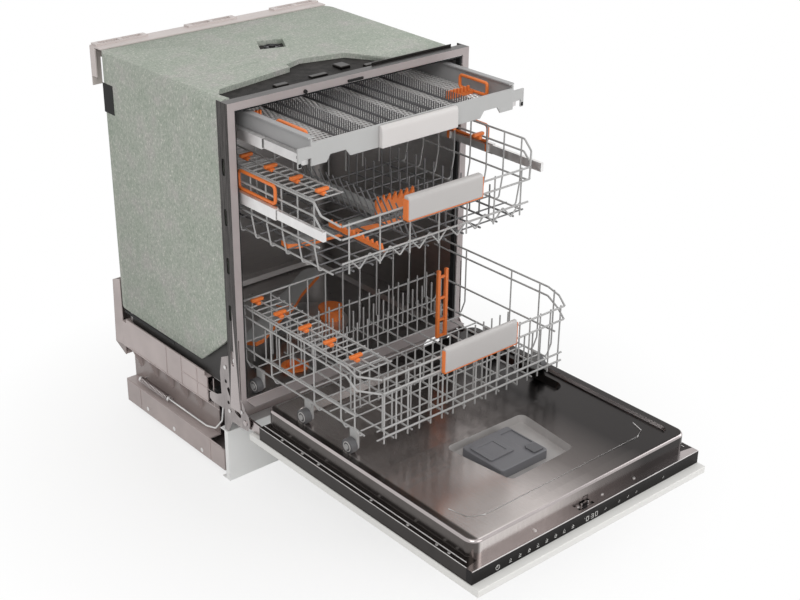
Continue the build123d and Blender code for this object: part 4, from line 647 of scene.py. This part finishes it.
marks = [mark(POWER_X, 0.002, STROKE, 0.005)]
for n, x in enumerate(PROGRAMMES):
    marks.append(mark(x, -0.003, 0.0065 - 0.0006 * (n % 3), 0.0009))
    marks.append(mark(x - 0.0015, 0, 0.0009, 0.004 - 0.0008 * (n % 2)))
    marks.append(mark(x + 0.0018, 0.0006, 0.0009 + 0.001 * (n % 3), 0.0028))
    marks.append(mark(x, 0.0036, 0.0016, 0.0009))
for x in OPTIONS:
    marks.append(mark(x - 0.001, -0.001, 0.0024, 0.0008))
    marks.append(mark(x + 0.0012, 0.001, 0.0009, 0.003))
for x, digit in CLOCK:
    w, h = DIGIT_WIDE, DIGIT_HIGH
    bars = {
        "a": mark(x, h, 2 * w, STROKE), "g": mark(x, 0, 2 * w, STROKE), "d": mark(x, -h, 2 * w, STROKE),
        "b": mark(x + w, h / 2, STROKE, h), "c": mark(x + w, -h / 2, STROKE, h),
        "e": mark(x - w, -h / 2, STROKE, h), "f": mark(x - w, h / 2, STROKE, h),
    }
    marks += [bars[k] for k in SEGMENTS[digit]]
marks += [mark(-0.007, up, STROKE, STROKE) for up in (0.0018, -0.0018)]
marks.append(mark(-0.0205, 0.003, 0.0009, 0.002))
boxes("panel_marks", marks, "cabinet", "mark")

# Screws along the door's flange and beside its catch
SCREW_Z = 0.1806
side_screws = (-0.128, -0.191, -0.241, -0.395, -0.495, -0.570, -0.601)
front_screws = (
    (-0.1315, -0.6495), (0.1295, -0.6495), (-0.0195, -0.6475), (0.044, -0.6475), (-0.130, -0.637), (0.128, -0.637))
screws = [(s * 0.2905, y, SCREW_Z) for s in BOTH for y in side_screws]
screws += [(x, y, SCREW_Z) for x, y in front_screws]
studs("flange_screws", screws, 0.0032, 0.002, "z", "cabinet", "zinc")
# Thin pressed line inside the door pan
line = [(-0.2358, -0.5388), (-0.2268, -0.57891), (-0.198, -0.59228), (0.2025, -0.59228), (0.2268, -0.58082),
        (0.2358, -0.553125)]
beads = bmesh.new()
tube(beads, [(x, y, 0.2133) for x, y in line], 0.0010)
face_outwards(beads)
put(mesh_object("pan_lines", beads), "cabinet", "zinc")
# Folded edges of the flange, which catch the light
FOLD_REAR, FOLD_Z = -0.064, 0.1802
folds = bmesh.new()
for s in BOTH:
    tube(folds, [(s * 0.2970, FOLD_REAR, FOLD_Z), (s * 0.2970, -0.6505, FOLD_Z)], 0.0008)
    tube(folds, [(s * 0.2865, FOLD_REAR, FOLD_Z), (s * 0.2865, -0.640, FOLD_Z)], 0.0010)
tube(folds, [(-0.2970, -0.6650, 0.1796), (0.2970, -0.6650, 0.1796)], 0.0007)
face_outwards(folds)
put(mesh_object("flange_folds", folds), "cabinet", "zinc")
# Striker loop of the door catch
boxes("catch", [
    ((-0.012, -0.650, 0.180), (0.006, -0.641, 0.1835)),
    ((-0.010, -0.648, 0.183), (-0.0075, -0.643, 0.197)),
    ((0.0015, -0.648, 0.183), (0.004, -0.643, 0.197)),
    ((-0.010, -0.648, 0.1955), (0.004, -0.643, 0.198)),
], "cabinet", "zinc")


def black_boxes(name, spans, body="cabinet"):
    boxes(name, spans, body, "black")


# Dark clips on the frame's top bar
studs("frame_knob", [(-0.1224, -0.0012, 0.8142)], 0.0042, 0.005, "y", "cabinet", "black")
black_boxes("frame_clip", [
    ((-0.020, -0.003, 0.8115), (0.018, 0.001, 0.8165)), ((-0.004, -0.004, 0.8125), (0.014, 0.0, 0.8155))])
# Cover notches behind the felt, the plug in its hole, and clips in its top cut-out
NOTCH_SIDE, NOTCH_PROUD = 0.29525, 0.0004
black_boxes("side_notch", [
    ((s * NOTCH_SIDE - NOTCH_PROUD, 0.415, 0.697), (s * NOTCH_SIDE + NOTCH_PROUD, 0.4535, 0.759))
    for s in BOTH])
PLUG_X, PLUG_Y = 0.006, 0.279
studs("top_plug", [(PLUG_X, PLUG_Y, 0.8135)], 0.020, 0.005, "z", "cabinet", "wheel", 28)
rings("top_plug_ring", [(PLUG_X, PLUG_Y, 0.8160)], 0.0155, 0.0026, "z", "cabinet", "seal")
studs("top_plug_knob", [(PLUG_X, PLUG_Y, 0.8165)], 0.0075, 0.007, "z", "cabinet", "black")
CLIP_LOW = 0.8118
boxes("cutout_clips", [
    ((-0.150, 0.052, CLIP_LOW), (-0.120, 0.066, 0.8175)), ((-0.060, 0.060, CLIP_LOW), (-0.020, 0.072, 0.816)),
    ((0.020, 0.070, CLIP_LOW), (0.045, 0.098, 0.8185)), ((0.070, 0.052, CLIP_LOW), (0.115, 0.064, 0.8165)),
], "cabinet", "dark_steel")
# Punched runner and end clips of the cutlery tray
black_boxes("tray_runner_slots", [
    ((-0.2624, y, 0.7575), (-0.2616, y + 0.0045, 0.7625)) for y in (-0.169, -0.160)], "cutlery_tray")
black_boxes("tray_end_clips", [
    ((s * 0.2735 - 0.003, -0.1815, 0.7495), (s * 0.2735 + 0.003, -0.1755, 0.757)) for s in BOTH], "cutlery_tray")
# Stiffening ribs on the sides of the base, each as its y and z reach
RIB_SIDE, RIB_PROUD = 0.2934, 0.0007
SLOT_SIDE, SLOT_PROUD = 0.2936, 0.0006
reaches = [(y, y + 0.002, 0.1530, 0.2185) for y in (0.2235, 0.1640, 0.1010, 0.2815)]
reaches += [
    (0.084, 0.440, 0.1515, 0.1535), (0.084, 0.2235, 0.1840, 0.1856), (0.084, 0.455, 0.0615, 0.0640),
    (0.128, 0.130, 0.0125, 0.0630), (0.405, 0.407, 0.0125, 0.0630),
]
spans = [((s * RIB_SIDE - RIB_PROUD, y0, z0), (s * RIB_SIDE + RIB_PROUD, y1, z1))
         for s in BOTH for y0, y1, z0, z1 in reaches]
boxes("base_ribs", spans, "cabinet", "base")
black_boxes("base_slots", [
    ((s * SLOT_SIDE - SLOT_PROUD, 0.243, 0.2395), (s * SLOT_SIDE + SLOT_PROUD, 0.443, 0.2465)) for s in BOTH])
# Rivets of the hinge plates and studs of the base
rivets = ((0.016, 0.296), (0.05, 0.268), (-0.002, 0.188), (0.040, 0.172))
lugs = ((0.376, 0.024), (0.269, 0.022), (0.161, 0.020))
studs("plate_rivets", [(s * 0.2979, y, z) for s in BOTH for y, z in rivets], 0.0042, 0.0016, "x",
      "cabinet", "zinc")
studs("base_studs", [(s * 0.2922, y, z) for s in BOTH for y, z in lugs], 0.005, 0.003, "x",
      "cabinet", "zinc")


# Stage, light and camera
def seen_by(tree, first, second):
    # 1 for the two kinds of ray, 0 for the others
    either = tree.nodes.new("ShaderNodeMath")
    either.operation = "MAXIMUM"
    tree.links.new(first, either.inputs[0])
    tree.links.new(second, either.inputs[1])
    return either.outputs["Value"]


def pale_floor():
    size, height, grey = 30, -0.0005, 0.86
    fade_from, fade_to, least = 0.40, 0.85, 0.72
    bm = bmesh.new()
    bmesh.ops.create_grid(bm, x_segments=1, y_segments=1, size=size,
                          matrix=Matrix.Translation((0, 0, height)))
    obj = mesh_object("floor", bm, False)
    mat, tree, bsdf = shader("floor")
    bsdf.inputs["Base Color"].default_value = (grey, grey, grey, 1)
    bsdf.inputs["Roughness"].default_value = 0.9
    bsdf.inputs["Specular IOR Level"].default_value = 0.1
    # Away from the object the floor runs out into the white background
    coord = tree.nodes.new("ShaderNodeTexCoord")
    far = tree.nodes.new("ShaderNodeVectorMath")
    far.operation = "LENGTH"
    tree.links.new(coord.outputs["Object"], far.inputs[0])
    fade = tree.nodes.new("ShaderNodeMapRange")
    fade.inputs["From Min"].default_value = fade_from
    fade.inputs["From Max"].default_value = fade_to
    fade.inputs["To Min"].default_value = least
    tree.links.new(far.outputs["Value"], fade.inputs["Value"])
    glow = tree.nodes.new("ShaderNodeEmission")
    glow.inputs["Color"].default_value = (1, 1, 1, 1)
    ray = tree.nodes.new("ShaderNodeLightPath")
    share = tree.nodes.new("ShaderNodeMath")
    share.operation = "MULTIPLY"
    tree.links.new(fade.outputs["Result"], share.inputs[0])
    tree.links.new(seen_by(tree, ray.outputs["Is Camera Ray"], ray.outputs["Is Glossy Ray"]), share.inputs[1])
    mix = tree.nodes.new("ShaderNodeMixShader")
    tree.links.new(share.outputs["Value"], mix.inputs["Fac"])
    tree.links.new(bsdf.outputs["BSDF"], mix.inputs[1])
    tree.links.new(glow.outputs["Emission"], mix.inputs[2])
    end = next(n for n in tree.nodes if n.type == "OUTPUT_MATERIAL")
    tree.links.new(mix.outputs["Shader"], end.inputs["Surface"])
    obj.data.materials.append(mat)


def area(name, place, target, size, power, colour):
    data = bpy.data.lights.new(name, "AREA")
    data.shape = "RECTANGLE"
    data.size, data.size_y = size
    data.energy = power
    data.color = colour
    obj = bpy.data.objects.new(name, data)
    bpy.context.collection.objects.link(obj)
    obj.location = place
    obj.rotation_mode = "QUATERNION"
    obj.rotation_quaternion = (Vector(target) - Vector(place)).to_track_quat("-Z", "Y")


def white_world():
    # White where it is seen or mirrored, softer where it lights
    world = bpy.data.worlds.new("studio")
    bpy.context.scene.world = world
    world.use_nodes = True
    tree = world.node_tree
    tree.nodes.clear()
    out = tree.nodes.new("ShaderNodeOutputWorld")
    mix = tree.nodes.new("ShaderNodeMixShader")
    seen = tree.nodes.new("ShaderNodeBackground")
    seen.inputs["Color"].default_value = (1, 1, 1, 1)
    seen.inputs["Strength"].default_value = 1.0
    soft = tree.nodes.new("ShaderNodeBackground")
    soft.inputs["Color"].default_value = (1.0, 0.985, 0.97, 1)
    soft.inputs["Strength"].default_value = 0.56
    ray = tree.nodes.new("ShaderNodeLightPath")
    through = seen_by(tree, ray.outputs["Is Camera Ray"], ray.outputs["Is Transmission Ray"])
    tree.links.new(seen_by(tree, through, ray.outputs["Is Glossy Ray"]), mix.inputs["Fac"])
    tree.links.new(soft.outputs["Background"], mix.inputs[1])
    tree.links.new(seen.outputs["Background"], mix.inputs[2])
    tree.links.new(mix.outputs["Shader"], out.inputs["Surface"])


pale_floor()
area("key", (-2.6, -2.2, 3.2), (0, 0, 0.4), (2.2, 2.2), 52, (1.0, 0.99, 0.97))
area("top", (0.3, 0.2, 3.4), (0, 0, 0.3), (3.0, 3.0), 14, (1.0, 0.99, 0.98))
area("right", (3.0, -1.6, 1.6), (0, -0.2, 0.4), (1.6, 2.2), 22, (0.98, 0.99, 1.0))
area("front", (0.3, -3.4, 1.6), (0, 0, 0.4), (2.0, 1.4), 18, (1.0, 0.985, 0.97))
white_world()

cam = bpy.data.cameras.new("camera")
cam.sensor_width = 36
cam.lens = 62.73
cam.shift_x = 0.0445
cam.shift_y = 0.0046
cam.clip_start, cam.clip_end = 0.05, 100
camera = bpy.data.objects.new("camera", cam)
bpy.context.collection.objects.link(camera)
camera.location = (-1.6423, FRONT - 2.0037, 1.6003)
bearing, dip = math.radians(39.707), math.radians(26.034)
aim = Vector((math.sin(bearing) * math.cos(dip), math.cos(bearing) * math.cos(dip), -math.sin(dip)))
camera.rotation_mode = "QUATERNION"
camera.rotation_quaternion = aim.to_track_quat("-Z", "Y")
scene = bpy.context.scene
scene.camera = camera
scene.view_settings.view_transform = "Standard"
